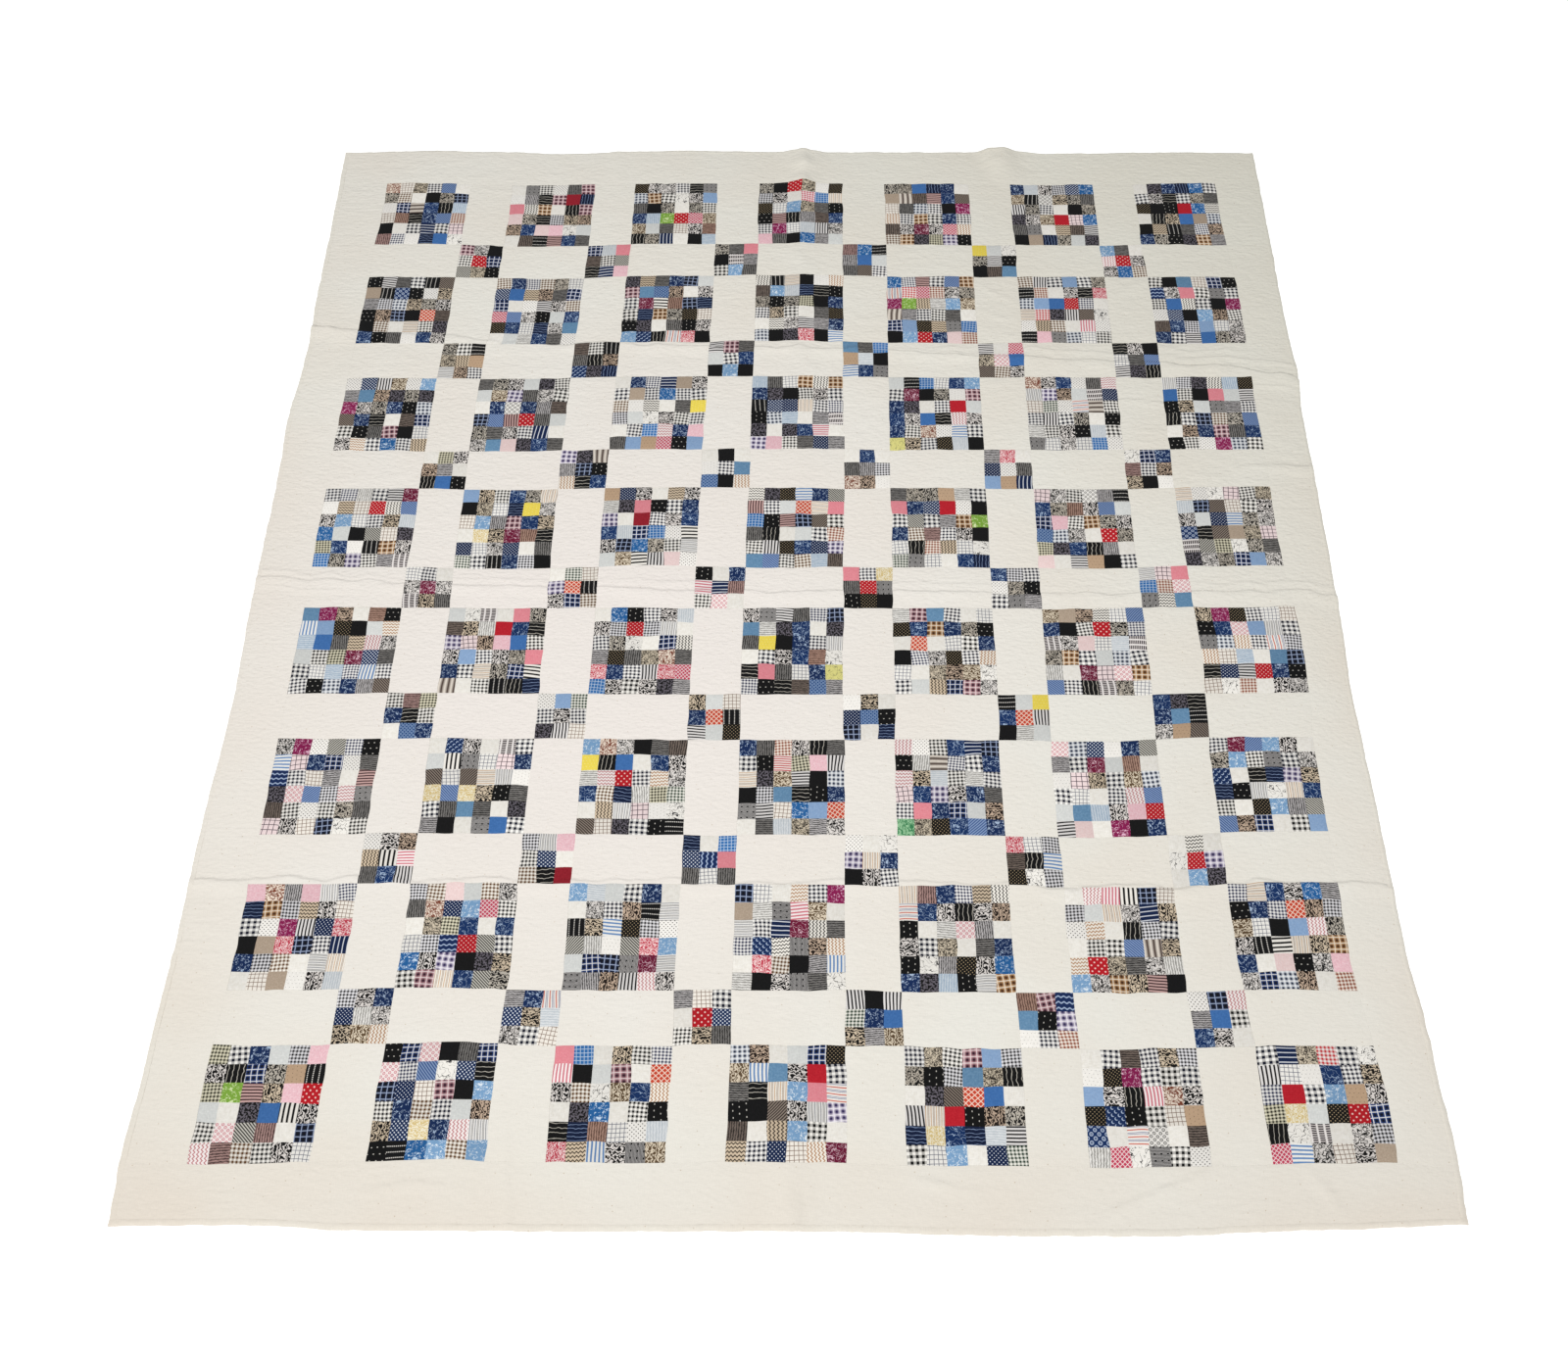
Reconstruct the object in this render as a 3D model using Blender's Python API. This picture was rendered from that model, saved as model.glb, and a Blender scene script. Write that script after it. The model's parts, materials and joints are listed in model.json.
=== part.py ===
# Patchwork quilt lying flat, face up.
# Thirty-six-patch blocks and nine-patch cornerstones are joined by plain muslin sashing,
# framed by a muslin border and bound all round. Places on the quilt are counted in patches:
# u to the right and v down the quilt, both from the top left corner of the pieced centre.

from collections import namedtuple

import bmesh
import bpy
import numpy as np

# Driving dimensions, in metres
PATCH = 0.0254  # finished side of one square patch
BORDER_WIDTH = 0.0813  # border and binding together, before the edge's own waver
BINDING_WIDTH = 0.008
THICKNESS = 0.003  # at a seam
PANEL_CROWN = 0.0009  # how far a panel swells above its seams
BINDING_CROWN = 0.0007  # how far the binding's roll stands above the border
GAP = 0.0003  # between neighbouring pieces

# Layout, in patches
BLOCK = 6
SASH = 3
PITCH = BLOCK + SASH
BLOCK_COLUMNS = 7
BLOCK_ROWS = 8
WIDE = BLOCK_COLUMNS * PITCH - SASH
LONG = BLOCK_ROWS * PITCH - SASH
SHOULDER = 0.6  # from a seam to where the panel is at its full height
BORDER = BORDER_WIDTH / PATCH
BINDING = BINDING_WIDTH / PATCH

# Grid of each sheet
CLOSEST_LINES = 0.3  # in patches: lines nearer than this to one that is kept are left out
FOLD_STEPS = 4  # grid steps across a straight fold
ROLL_ARC = (0.18, 0.80)  # the part of a half turn that the binding's face covers

# Width of border and binding in millimetres, at places down the sides and along the ends
SideWidth = namedtuple("SideWidth", "at left right")
SIDE_WIDTHS = (
    SideWidth(-3.2, 88, 74),
    SideWidth(6.0, 84, 76),
    SideWidth(12.0, 82, 75),
    SideWidth(13.7, 79, 76),
    SideWidth(17.5, 80, 80),
    SideWidth(21.0, 86, 75),
    SideWidth(27.0, 81, 76),
    SideWidth(36.0, 80, 75),
    SideWidth(42.0, 75, 71),
    SideWidth(51.0, 81, 76),
    SideWidth(57.0, 81, 78),
    SideWidth(63.0, 86, 88),
    SideWidth(69.0, 91, 95),
    SideWidth(72.2, 89, 92),
)
EndWidth = namedtuple("EndWidth", "at top bottom")
END_WIDTHS = (
    EndWidth(-3.2, 85, 77),
    EndWidth(3.0, 89, 75),
    EndWidth(9.0, 85, 81),
    EndWidth(12.0, 80, 81),
    EndWidth(21.0, 89, 81),
    EndWidth(27.0, 86, 80),
    EndWidth(33.0, 84, 80),
    EndWidth(42.0, 84, 85),
    EndWidth(45.0, 87, 84),
    EndWidth(48.0, 80, 84),
    EndWidth(57.0, 83, 75),
    EndWidth(63.2, 81, 69),
)

# Folds left by storage: each runs from (u1, v1) to (u2, v2) in patches, rises by so many
# millimetres at its two ends, and reaches so many patches to either side
Fold = namedtuple("Fold", "name u1 v1 u2 v2 rise1 rise2 reach")
FOLDS = (
    Fold("centre hump", 30.1, -3.2, 30.1, 1.5, 16.0, 5.0, 1.7),
    Fold("centre upper", 30.1, 1.5, 30.2, 30.0, 5.0, 1.5, 1.2),
    Fold("centre lower", 30.2, 60.0, 30.2, 72.2, 1.5, 5.0, 1.2),
    Fold("right hump", 44.2, -3.2, 45.1, -0.2, 15.0, 3.0, 1.5),
    Fold("left dent", 16.5, -3.2, 16.4, 0.0, 3.0, 1.0, 0.9),
    Fold("upper left", -3.2, 13.7, 15.0, 15.1, 4.0, 2.5, 1.0),
    Fold("upper middle", 15.0, 15.1, 45.0, 15.4, 2.5, 2.5, 0.9),
    Fold("upper right", 45.0, 16.6, 63.2, 17.7, 3.0, 5.0, 1.1),
    Fold("right edge", 58.5, 25.5, 63.2, 25.5, 2.0, 4.0, 1.0),
    Fold("middle", -3.2, 33.9, 63.2, 35.0, 2.5, 2.5, 0.9),
    Fold("lower", -3.2, 53.75, 63.2, 54.0, 2.0, 2.0, 0.8),
)


def width_at(table, column, at):
    """Width in patches, eased from one row of the table to the next."""
    places = np.array([row.at for row in table])
    widths = np.array([getattr(row, column) for row in table]) / 1000 / PATCH
    at = np.clip(at, places[0], places[-1])
    k = min(int(np.searchsorted(places, at, side="right")) - 1, len(places) - 2)
    part = (at - places[k]) / (places[k + 1] - places[k])
    eased = part * part * (3 - 2 * part)
    return widths[k] + (widths[k + 1] - widths[k]) * eased


def widest(table, column):
    return max(getattr(row, column) for row in table) / 1000 / PATCH


CENTRE_U = (WIDE + widest(SIDE_WIDTHS, "right") - widest(SIDE_WIDTHS, "left")) / 2
CENTRE_V = (LONG + widest(END_WIDTHS, "bottom") - widest(END_WIDTHS, "top")) / 2


def place(u, v):
    """A point of the quilt in metres: the border takes up the waver of the edge."""
    out_u, out_v = u, v
    if u < 0:
        out_u = u / BORDER * width_at(SIDE_WIDTHS, "left", v)
    elif u > WIDE:
        out_u = WIDE + (u - WIDE) / BORDER * width_at(SIDE_WIDTHS, "right", v)
    if v < 0:
        out_v = v / BORDER * width_at(END_WIDTHS, "top", u)
    elif v > LONG:
        out_v = LONG + (v - LONG) / BORDER * width_at(END_WIDTHS, "bottom", u)
    return (out_u - CENTRE_U) * PATCH, (CENTRE_V - out_v) * PATCH


def fold_rise(fold, u, v):
    """Height in metres of one fold: a rounded ridge that ends in a rounded tip."""
    along = np.array([fold.u2 - fold.u1, fold.v2 - fold.v1])
    from_start = np.array([u - fold.u1, v - fold.v1])
    part = np.clip(from_start @ along / (along @ along), 0.0, 1.0)
    away = np.linalg.norm(from_start - part * along)
    if away >= fold.reach:
        return 0.0
    crest = fold.rise1 + (fold.rise2 - fold.rise1) * part
    return crest / 1000 * (1 + np.cos(np.pi * away / fold.reach)) / 2


def underside(u, v):
    return max(fold_rise(fold, u, v) for fold in FOLDS)


def crown(at, seams):
    """0 at a seam, 1 from one shoulder's width away."""
    away = min(abs(at - seam) for seam in seams)
    return np.sin(np.pi / 2 * min(away / SHOULDER, 1.0))


def fold_lines(low, high, across, others):
    """Places from low to high along one letter, across, where lines follow the folds.

    Only folds that run the other way and meet the piece, which spans others, need them.
    """
    along = "v" if across == "u" else "u"
    lines = []
    for fold in FOLDS:
        ends = sorted((getattr(fold, across + "1"), getattr(fold, across + "2")))
        run = sorted((getattr(fold, along + "1"), getattr(fold, along + "2")))
        crosses = run[1] - run[0] > ends[1] - ends[0]
        meets = run[0] - fold.reach < others[1] and run[1] + fold.reach > others[0]
        if crosses and meets:
            span = ends[1] - ends[0] + 2 * fold.reach
            steps = FOLD_STEPS + round((ends[1] - ends[0]) / fold.reach)
            start = ends[0] - fold.reach
            lines += [start + span * k / steps for k in range(steps + 1)]
    return [line for line in lines if low < line < high]


def spread(kept, added):
    """kept lines, and those added ones that stand clear of them and of each other."""
    lines = list(kept)
    for line in sorted(added):
        if min(abs(line - other) for other in lines) > CLOSEST_LINES:
            lines.append(line)
    return sorted(lines)


def panel_lines(seams):
    """Lines at the seams and at both shoulders of each panel between them."""
    lines = list(seams)
    for low, high in zip(seams, seams[1:]):
        lines += [low + SHOULDER, high - SHOULDER]
    return sorted(lines)


def clipped(lines, low, high):
    """The lines inside a piece, with half a gap taken off at its two ends."""
    half = GAP / 2 / PATCH
    return [low + half] + [x for x in lines if low + half < x < high - half] + [high - half]


def cloth_material(name, colour, roughness):
    material = bpy.data.materials.new(name)
    material.use_nodes = True
    shader = material.node_tree.nodes["Principled BSDF"]
    shader.inputs["Base Color"].default_value = (*colour, 1.0)
    shader.inputs["Roughness"].default_value = roughness
    shader.inputs["Metallic"].default_value = 0.0
    return material


def add_cloth(collection, name, lines_u, lines_v, top, material):
    """A sheet of cloth on a grid of lines. top(u, v) is its thickness at a point."""
    bm = bmesh.new()
    across, down = len(lines_u) - 1, len(lines_v) - 1
    bmesh.ops.create_grid(bm, x_segments=across, y_segments=down, size=1.0)
    thickness = bm.verts.layers.float.new("thickness")
    for vert in bm.verts:
        u = lines_u[round((vert.co.x + 1) / 2 * across)]
        v = lines_v[round((1 - vert.co.y) / 2 * down)]
        vert.co = (*place(u, v), underside(u, v))
        vert[thickness] = top(u, v)
    raised = bmesh.ops.extrude_face_region(bm, geom=bm.faces[:])["geom"]
    for vert in (item for item in raised if isinstance(item, bmesh.types.BMVert)):
        vert.co.z += vert[thickness]
    bm.verts.layers.float.remove(thickness)
    bmesh.ops.recalc_face_normals(bm, faces=bm.faces[:])
    mesh = bpy.data.meshes.new(name)
    bm.to_mesh(mesh)
    bm.free()
    mesh.materials.append(material)
    cloth = bpy.data.objects.new(name, mesh)
    collection.objects.link(cloth)
    return cloth


def panel_top(seams_u, seams_v):
    """Thickness of pieced cloth whose panels swell between the seams."""

    def top(u, v):
        return THICKNESS + PANEL_CROWN * min(crown(u, seams_u), crown(v, seams_v))

    return top


def binding_top(outer, inner, by_u):
    """Thickness across the binding, rolled over the quilt's raw edge."""

    def top(u, v):
        part = abs((u if by_u else v) - outer) / abs(inner - outer)
        turn = ROLL_ARC[0] + (ROLL_ARC[1] - ROLL_ARC[0]) * part
        return (THICKNESS + BINDING_CROWN) * np.sin(np.pi * turn)

    return top


def add_rows(collection, patchwork, muslin):
    """Strips of the pieced centre: blocks with sashes, and sashes with cornerstones."""
    seams_u = [0]
    for column in range(BLOCK_COLUMNS):
        seams_u += [column * PITCH + BLOCK, (column + 1) * PITCH]
    seams_u = seams_u[:-1]
    for row in range(BLOCK_ROWS):
        start = row * PITCH
        strips = [("block_row", start, start + BLOCK, patchwork)]
        if row < BLOCK_ROWS - 1:
            strips.append(("sash_row", start + BLOCK, start + PITCH, muslin))
        for kind, low, high, material in strips:
            lines_u = spread(panel_lines(seams_u), fold_lines(0, WIDE, "u", (low, high)))
            lines_v = spread(panel_lines([low, high]), fold_lines(low, high, "v", (0, WIDE)))
            add_cloth(
                collection,
                f"{kind}_{row + 1}",
                clipped(lines_u, 0, WIDE),
                clipped(lines_v, low, high),
                panel_top(seams_u, [low, high]),
                material,
            )


def add_border_and_binding(collection, muslin, binding):
    """Border panels and binding strips share their grid lines, so their edges run parallel."""
    inner = BORDER - BINDING
    ends_v = [0, LONG, -inner, LONG + inner]
    ends_u = [0, WIDE, -inner, WIDE + inner]
    down = [row.at for row in SIDE_WIDTHS] + fold_lines(-BORDER, LONG + BORDER, "v", (-BORDER, 0))
    down += fold_lines(-BORDER, LONG + BORDER, "v", (WIDE, WIDE + BORDER))
    along = [row.at for row in END_WIDTHS] + fold_lines(-BORDER, WIDE + BORDER, "u", (-BORDER, 0))
    along += fold_lines(-BORDER, WIDE + BORDER, "u", (LONG, LONG + BORDER))
    shoulders = [-inner + SHOULDER, -SHOULDER]
    lines_v = spread(ends_v, shoulders + [LONG - x for x in shoulders] + down)
    lines_u = spread(ends_u, shoulders + [WIDE - x for x in shoulders] + along)

    left, right = (-inner, 0), (WIDE, WIDE + inner)
    top, bottom = (-inner, 0), (LONG, LONG + inner)
    borders = {
        "border_top": ((-inner, WIDE + inner), top),
        "border_bottom": ((-inner, WIDE + inner), bottom),
        "border_left": (left, (0, LONG)),
        "border_right": (right, (0, LONG)),
    }
    for name, (span_u, span_v) in borders.items():
        add_cloth(
            collection,
            name,
            clipped(lines_u, *span_u),
            clipped(lines_v, *span_v),
            panel_top(span_u, span_v),
            muslin,
        )

    bindings = {
        "binding_top": (True, -BORDER, -inner),
        "binding_bottom": (True, LONG + BORDER, LONG + inner),
        "binding_left": (False, -BORDER, -inner),
        "binding_right": (False, WIDE + BORDER, WIDE + inner),
    }
    for name, (at_end, outer, edge) in bindings.items():
        low, high = sorted((outer, edge))
        across = [low, (low + high) / 2, high]
        if at_end:
            spans = (clipped(lines_u, -BORDER, WIDE + BORDER), clipped(across, low, high))
        else:
            spans = (clipped(across, low, high), clipped(lines_v, -inner, LONG + inner))
        add_cloth(collection, name, *spans, binding_top(outer, edge, not at_end), binding)


def main():
    for old in list(bpy.data.objects):
        bpy.data.objects.remove(old)
    collection = bpy.data.collections.new("patchwork_quilt")
    bpy.context.scene.collection.children.link(collection)
    patchwork = cloth_material("printed cotton patchwork", (0.16, 0.18, 0.22), 0.9)
    muslin = cloth_material("unbleached muslin", (0.78, 0.75, 0.68), 0.9)
    binding = cloth_material("muslin binding", (0.80, 0.77, 0.70), 0.88)
    add_rows(collection, patchwork, muslin)
    add_border_and_binding(collection, muslin, binding)


main()
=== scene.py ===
import json
import math

import bpy
import numpy as np
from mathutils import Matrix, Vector

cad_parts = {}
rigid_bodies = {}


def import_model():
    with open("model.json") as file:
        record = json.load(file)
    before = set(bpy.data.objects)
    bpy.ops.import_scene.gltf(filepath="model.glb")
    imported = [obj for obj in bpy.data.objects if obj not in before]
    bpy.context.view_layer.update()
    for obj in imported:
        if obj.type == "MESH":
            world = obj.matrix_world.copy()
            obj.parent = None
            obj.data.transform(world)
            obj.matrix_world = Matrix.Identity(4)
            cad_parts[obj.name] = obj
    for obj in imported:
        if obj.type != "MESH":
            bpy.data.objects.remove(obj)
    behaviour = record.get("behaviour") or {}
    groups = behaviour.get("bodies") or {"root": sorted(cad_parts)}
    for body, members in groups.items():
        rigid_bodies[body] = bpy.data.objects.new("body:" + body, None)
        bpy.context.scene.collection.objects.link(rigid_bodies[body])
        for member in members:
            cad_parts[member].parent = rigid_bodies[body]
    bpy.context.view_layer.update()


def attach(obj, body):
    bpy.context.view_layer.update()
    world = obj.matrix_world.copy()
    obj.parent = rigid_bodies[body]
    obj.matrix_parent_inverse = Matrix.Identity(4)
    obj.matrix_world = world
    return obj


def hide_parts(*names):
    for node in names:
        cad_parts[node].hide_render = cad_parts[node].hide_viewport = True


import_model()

# Places on the quilt are counted in patches: u to the right and v down the quilt, both from
# the top left corner of the pieced centre. Heights are given in millimetres.
quilt = dict(
    patch=0.0254,  # finished side of one square, in metres
    block=6,
    sash=3,
    columns=7,
    rows=8,
    border=0.0813,  # border and binding together, in metres
    binding=0.008,
    thickness=3.0,  # at a seam
    panelCrown=0.45,  # how far a panel swells above its seams
    shoulder=0.6,  # from a seam to where the panel is at its full height
    gap=0.00004,  # between neighbouring pieces, in metres: the sewn seam holds them closed
)
patch = quilt["patch"]
pitch = quilt["block"] + quilt["sash"]
wide = quilt["columns"] * pitch - quilt["sash"]
long = quilt["rows"] * pitch - quilt["sash"]
border = quilt["border"] / patch
inner = (quilt["border"] - quilt["binding"]) / patch  # from the field to the binding
millimetre = 0.001 / patch  # in patches

# Width of border and binding in millimetres: place along the edge, then the two edges
sideWidths = (  # v, left, right
    (-3.2, 88, 74), (6, 84, 76), (12, 82, 75), (13.7, 79, 76), (17.5, 80, 80),
    (21, 86, 75), (27, 81, 76), (36, 80, 75), (42, 75, 71), (51, 81, 76),
    (57, 81, 78), (63, 86, 88), (69, 91, 95), (72.2, 89, 92),
)
endWidths = (  # u, top, bottom
    (-3.2, 85, 77), (3, 89, 75), (9, 85, 81), (12, 80, 81), (21, 89, 81), (27, 86, 80),
    (33, 84, 80), (42, 84, 85), (45, 87, 84), (48, 80, 84), (57, 83, 75), (63.2, 81, 69),
)

# Folds of the whole cloth: points of the crest as (u, v, height), and how far the fold
# reaches to its far and its near side. Stored folds are steep on the far side.
folds = dict(
    centreHump=dict(far=2.0, near=2.0, crest=(
        (30.1, -3.2, 7.5), (30.1, 0, 5), (30.1, 1.5, 3.5), (30.15, 8, 2.2), (30.2, 30, 0.8))),
    centreHumpCap=dict(far=0.75, near=0.75, crest=(
        (30.1, -3.2, 5), (30.1, 0, 3.2), (30.1, 1.5, 2), (30.15, 10, 1), (30.2, 30, 0.6))),
    centreLower=dict(far=1.2, near=1.2, crest=(
        (30.2, 60, 0.8), (30.2, 68, 1.8), (30.2, 72.2, 4.5))),
    rightHump=dict(far=1.7, near=1.7, crest=(
        (44.2, -3.2, 12), (44.4, -2.2, 9), (44.8, -1, 4), (45.1, 0.4, 0))),
    leftDent=dict(far=0.9, near=0.9, crest=((16.5, -3.2, 3), (16.4, 0, 0.6))),
    upperLeft=dict(far=0.2, near=1.35, crest=(
        (-3.2, 13.55, 5.2), (-1.5, 13.85, 4.4), (0, 14.15, 3), (6.2, 14.35, 2),
        (9, 14.75, 1.9), (15, 15.1, 1.6))),
    upperMiddle=dict(far=0.15, near=1.0, crest=(
        (15, 15.1, 1.6), (20, 15.35, 2.4), (27, 15.7, 2.5), (30, 15.5, 2), (33, 15.7, 2.9),
        (37, 15.9, 3), (45, 16.3, 2.4))),
    upperRight=dict(far=0.17, near=1.4, crest=(
        (45, 16.4, 2.4), (50, 16.6, 3), (54.1, 16.85, 3.5), (59.8, 17.4, 4.2),
        (61.5, 17.9, 4.4), (63.2, 18.1, 4.6))),
    rightEdge=dict(far=0.2, near=1.0, crest=((58.5, 25.4, 0.9), (63.2, 25.35, 3.2))),
    middle=dict(far=0.14, near=1.0, crest=(
        (-3.2, 33.9, 2.5), (9, 34.3, 2), (18, 34.6, 2.2), (23.5, 34.8, 2.3),
        (29.7, 35, 2.2), (33, 34.7, 2.1), (38, 34.9, 2.2), (45, 35, 2), (63.2, 35, 2.5))),
    lower=dict(far=0.15, near=1.0, crest=(
        (-3.2, 53.75, 2.4), (20, 53.8, 2), (40, 53.95, 1.9), (63.2, 54, 2.4))),
)
# Small creases of the face alone: reach to the far and the near side, then the crest
creaseRows = (
    (0.13, 0.5, (-3.2, 33.3, 0.9), (-1, 33.45, 1), (3, 33.7, 0.9), (6, 33.8, 0.3)),
    (0.13, 0.5, (-3.2, 34.5, 0.7), (0, 34.7, 0.9), (4, 34.9, 0.3)),
    (0.13, 0.5, (9, 33.7, 0.4), (12, 33.8, 0.9), (15, 34, 0.7)),
    (0.13, 0.5, (18, 34, 0.5), (22, 34.15, 1), (24, 34.2, 0.8), (27, 34.1, 0.3)),
    (0.13, 0.5, (33, 34.1, 0.3), (36, 34.2, 0.8), (42, 34.3, 0.6), (45, 34.3, 0.8)),
    (0.13, 0.5, (54, 34.3, 0.4), (58, 34.4, 0.9), (63.2, 34.3, 1)),
    (0.13, 0.5, (45.2, 15.6, 0.9), (49, 15.7, 1.5), (52, 15.9, 0.5)),
    (0.15, 0.4, (54, 15.5, 0.6), (57, 15.6, 1.2), (61, 15.9, 0.3)),
    (0.15, 0.4, (36, 15.6, 0.3), (40, 15.8, 1.1), (44.6, 16, 1)),
    (0.35, 0.5, (42.2, 9.4, 0.2), (43.4, 10.6, 1.3), (44.8, 11.4, 0.5)),
    (0.3, 0.45, (42.4, 12.2, 0.5), (43.7, 12.9, 1.2), (44.9, 12.7, 0.3)),
    (0.35, 0.6, (51.3, 11.2, 0.3), (52.6, 10, 1.4), (53.8, 9.3, 0.4)),
    (0.3, 0.5, (33.2, 12.6, 0.2), (34.6, 13.2, 1.1), (35.8, 13, 0.3)),
    (0.13, 0.5, (54, 16.1, 0.6), (57, 16.3, 1.2), (60, 16.5, 1.2), (63.2, 17, 1.4)),
    (0.13, 0.5, (59, 18.5, 0.3), (61, 18.8, 1.2), (63.2, 19.2, 1.1)),
    (0.15, 0.6, (20, 15.0, 0.6), (24, 15.25, 1), (27, 15.2, 0.3)),
    (0.15, 0.6, (38, 15.5, 0.2), (39.5, 15.4, 1), (42, 15.2, 0.6)),
    (0.15, 0.7, (50, 19.9, 0.2), (51.2, 20, 1), (53.7, 20.1, 0.8)),
    (0.3, 0.3, (1.9, 15.3, 0.3), (1.7, 16.4, 0.9), (2, 17.8, 0.2)),
    (0.3, 0.3, (15.6, 66, 0.2), (16, 69, 1.2), (16.4, 72.2, 1.6)),
    (0.25, 0.6, (36, 69.6, 0.2), (37.5, 70, 1.5), (39.5, 70.2, 0.3)),
    (0.3, 0.8, (44.6, 72, 0.4), (46.5, 70.9, 1.5), (49, 69.9, 2), (51.5, 69.2, 0.6)),
    (0.3, 0.6, (55.6, 69.2, 0.3), (56.6, 70.3, 1.6), (57.4, 71.4, 0.4)),
    (0.25, 0.6, (8.5, 70.4, 0.2), (11, 70.1, 1.2), (14, 70.2, 0.3)),
    (0.3, 0.3, (31.3, 69, 0.5), (31.3, 71, 1.4), (31.4, 72.2, 0.9)),
    # the quilt's old middle fold, pressed in as two faint upright lines
    (0.16, 0.5, (29.4, -3, 0.8), (29.5, 6, 0.5), (29.4, 34, 0.6), (29.5, 72, 0.4)),
    (0.5, 0.16, (30.8, -3, 0.8), (30.9, 8, 0.5), (30.8, 35, 0.6), (30.9, 45, 0.3)),
)
creases = [dict(far=far, near=near, crest=crest) for far, near, *crest in creaseRows]

# How far each block has drifted from an even grid, in tenths of a patch, block row by row
driftRight = (
    (1, 2, 0, 0, 0, 0, -2), (1, 0, 0, 0, 0, 1, 1), (0, -2, -1, 0, 0, 0, 0),
    (1, -2, -2, 0, 0, 0, 0), (2, 0, -1, -1, 0, 0, 3), (2, 0, -1, 0, -1, -1, 0),
    (2, 1, -1, 0, 0, 0, 0), (1, -2, -1, 0, 1, 3, 3),
)
driftDown = (
    (-1, 1, -1, -1, 0, 1, 0), (0, 2, -1, -2, 0, 0, 0), (1, 1, -1, -1, 0, 0, 0),
    (1, 3, 0, 1, 1, 2, -1), (0, 0, 0, 0, 0, 0, -1), (0, -1, 0, 0, 0, 1, -3),
    (0, -1, 0, 0, 0, 1, -2), (0, -2, -1, -2, 0, 0, -2),
)


def fromHex(colour):
    # sRGB hex to linear RGBA
    parts = [int(colour[k:k + 2], 16) / 255 for k in (1, 3, 5)]
    return [p / 12.92 if p <= 0.04045 else ((p + 0.055) / 1.055) ** 2.4 for p in parts] + [1.0]


def smooth(x):
    x = np.clip(x, 0, 1)
    return x * x * (3 - 2 * x)


def bumps(x, y, seed):
    # Seeded smooth noise from -1 to 1, with about one bump to a unit
    table = np.random.default_rng(seed).uniform(-1, 1, (256, 256))
    left, low = np.floor(x).astype(int), np.floor(y).astype(int)
    a, b = smooth(x - left), smooth(y - low)

    def at(i, j):
        return table[(left + i) & 255, (low + j) & 255]

    return (at(0, 0) * (1 - a) + at(1, 0) * a) * (1 - b) + (at(0, 1) * (1 - a) + at(1, 1) * a) * b


def easedTable(rows, column, at):
    # One column of a width table in patches, eased from row to row
    places = np.array([row[0] for row in rows])
    widths = np.array([row[column] for row in rows]) * millimetre
    at = np.clip(at, places[0], places[-1])
    k = np.clip(np.searchsorted(places, at, side="right") - 1, 0, len(places) - 2)
    part = smooth((at - places[k]) / (places[k + 1] - places[k]))
    return widths[k] + (widths[k + 1] - widths[k]) * part


def easedGrid(rows, u, v):
    # A table of one value for each block, eased from block to block
    values = np.array(rows) / 10
    x = np.clip((u - quilt["block"] / 2) / pitch, 0, values.shape[1] - 1.001)
    y = np.clip((v - quilt["block"] / 2) / pitch, 0, values.shape[0] - 1.001)
    i, j = x.astype(int), y.astype(int)
    a, b = smooth(x - i), smooth(y - j)
    upper = values[j, i] * (1 - a) + values[j, i + 1] * a
    return upper * (1 - b) + (values[j + 1, i] * (1 - a) + values[j + 1, i + 1] * a) * b


def widest(rows, column):
    return max(row[column] for row in rows) * millimetre


# The middle of the outline, which is the frame's origin
edgeCentre = (
    (wide + widest(sideWidths, 2) - widest(sideWidths, 1)) / 2,
    (long + widest(endWidths, 2) - widest(endWidths, 1)) / 2,
)
waver = dict(block=0.05, patch=0.045)  # in patches: slow drift, and corner by corner
edgeWaver = 0.015  # of the border's width
# The lower corners spread: where that starts, over how many patches, and how far
flare = dict(down=(58, 8), right=(52, 8, 0.35), left=(6, -6, 0.25))


def place(u, v):
    # A point of the quilt in metres. The border takes up the waver of the edge, and inside
    # it the seams drift, as small hand-sewn squares do.
    outside = np.maximum(np.maximum(-u, u - wide), np.maximum(-v, v - long))
    inside = 1 - smooth(outside / inner)

    def spreadAt(at, starts, over, far=1.0):
        return far * smooth((at - starts) / over)

    def wander(seed):
        slow = waver["block"] * bumps(u / 3.3, v / 3.3, seed)
        return slow + waver["patch"] * bumps(u * 1.13, v * 1.13, seed + 1)

    def wavered(along, seed):
        quick = bumps(along * 3.1, along * 0, seed + 1)
        share = edgeWaver * np.clip(outside / border, 0, 1) ** 2
        return 1 + share * (bumps(along * 1.1, along * 0, seed) + 0.6 * quick) / 1.6

    spread = spreadAt(u, *flare["right"]) - spreadAt(u, *flare["left"])
    spread = spread * spreadAt(v, *flare["down"])
    right = easedGrid(driftRight, u, v) + spread + wander(1)
    down = easedGrid(driftDown, u, v) + wander(3)
    leftU = u / border * easedTable(sideWidths, 1, v) * wavered(v, 11)
    rightU = wide + (u - wide) / border * easedTable(sideWidths, 2, v) * wavered(v, 13)
    topV = v / border * easedTable(endWidths, 1, u) * wavered(u, 15)
    bottomV = long + (v - long) / border * easedTable(endWidths, 2, u) * wavered(u, 17)
    outU = np.where(u < 0, leftU, np.where(u > wide, rightU, u)) + right * inside
    outV = np.where(v < 0, topV, np.where(v > long, bottomV, v)) + down * inside
    return (outU - edgeCentre[0]) * patch, (edgeCentre[1] - outV) * patch


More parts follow.
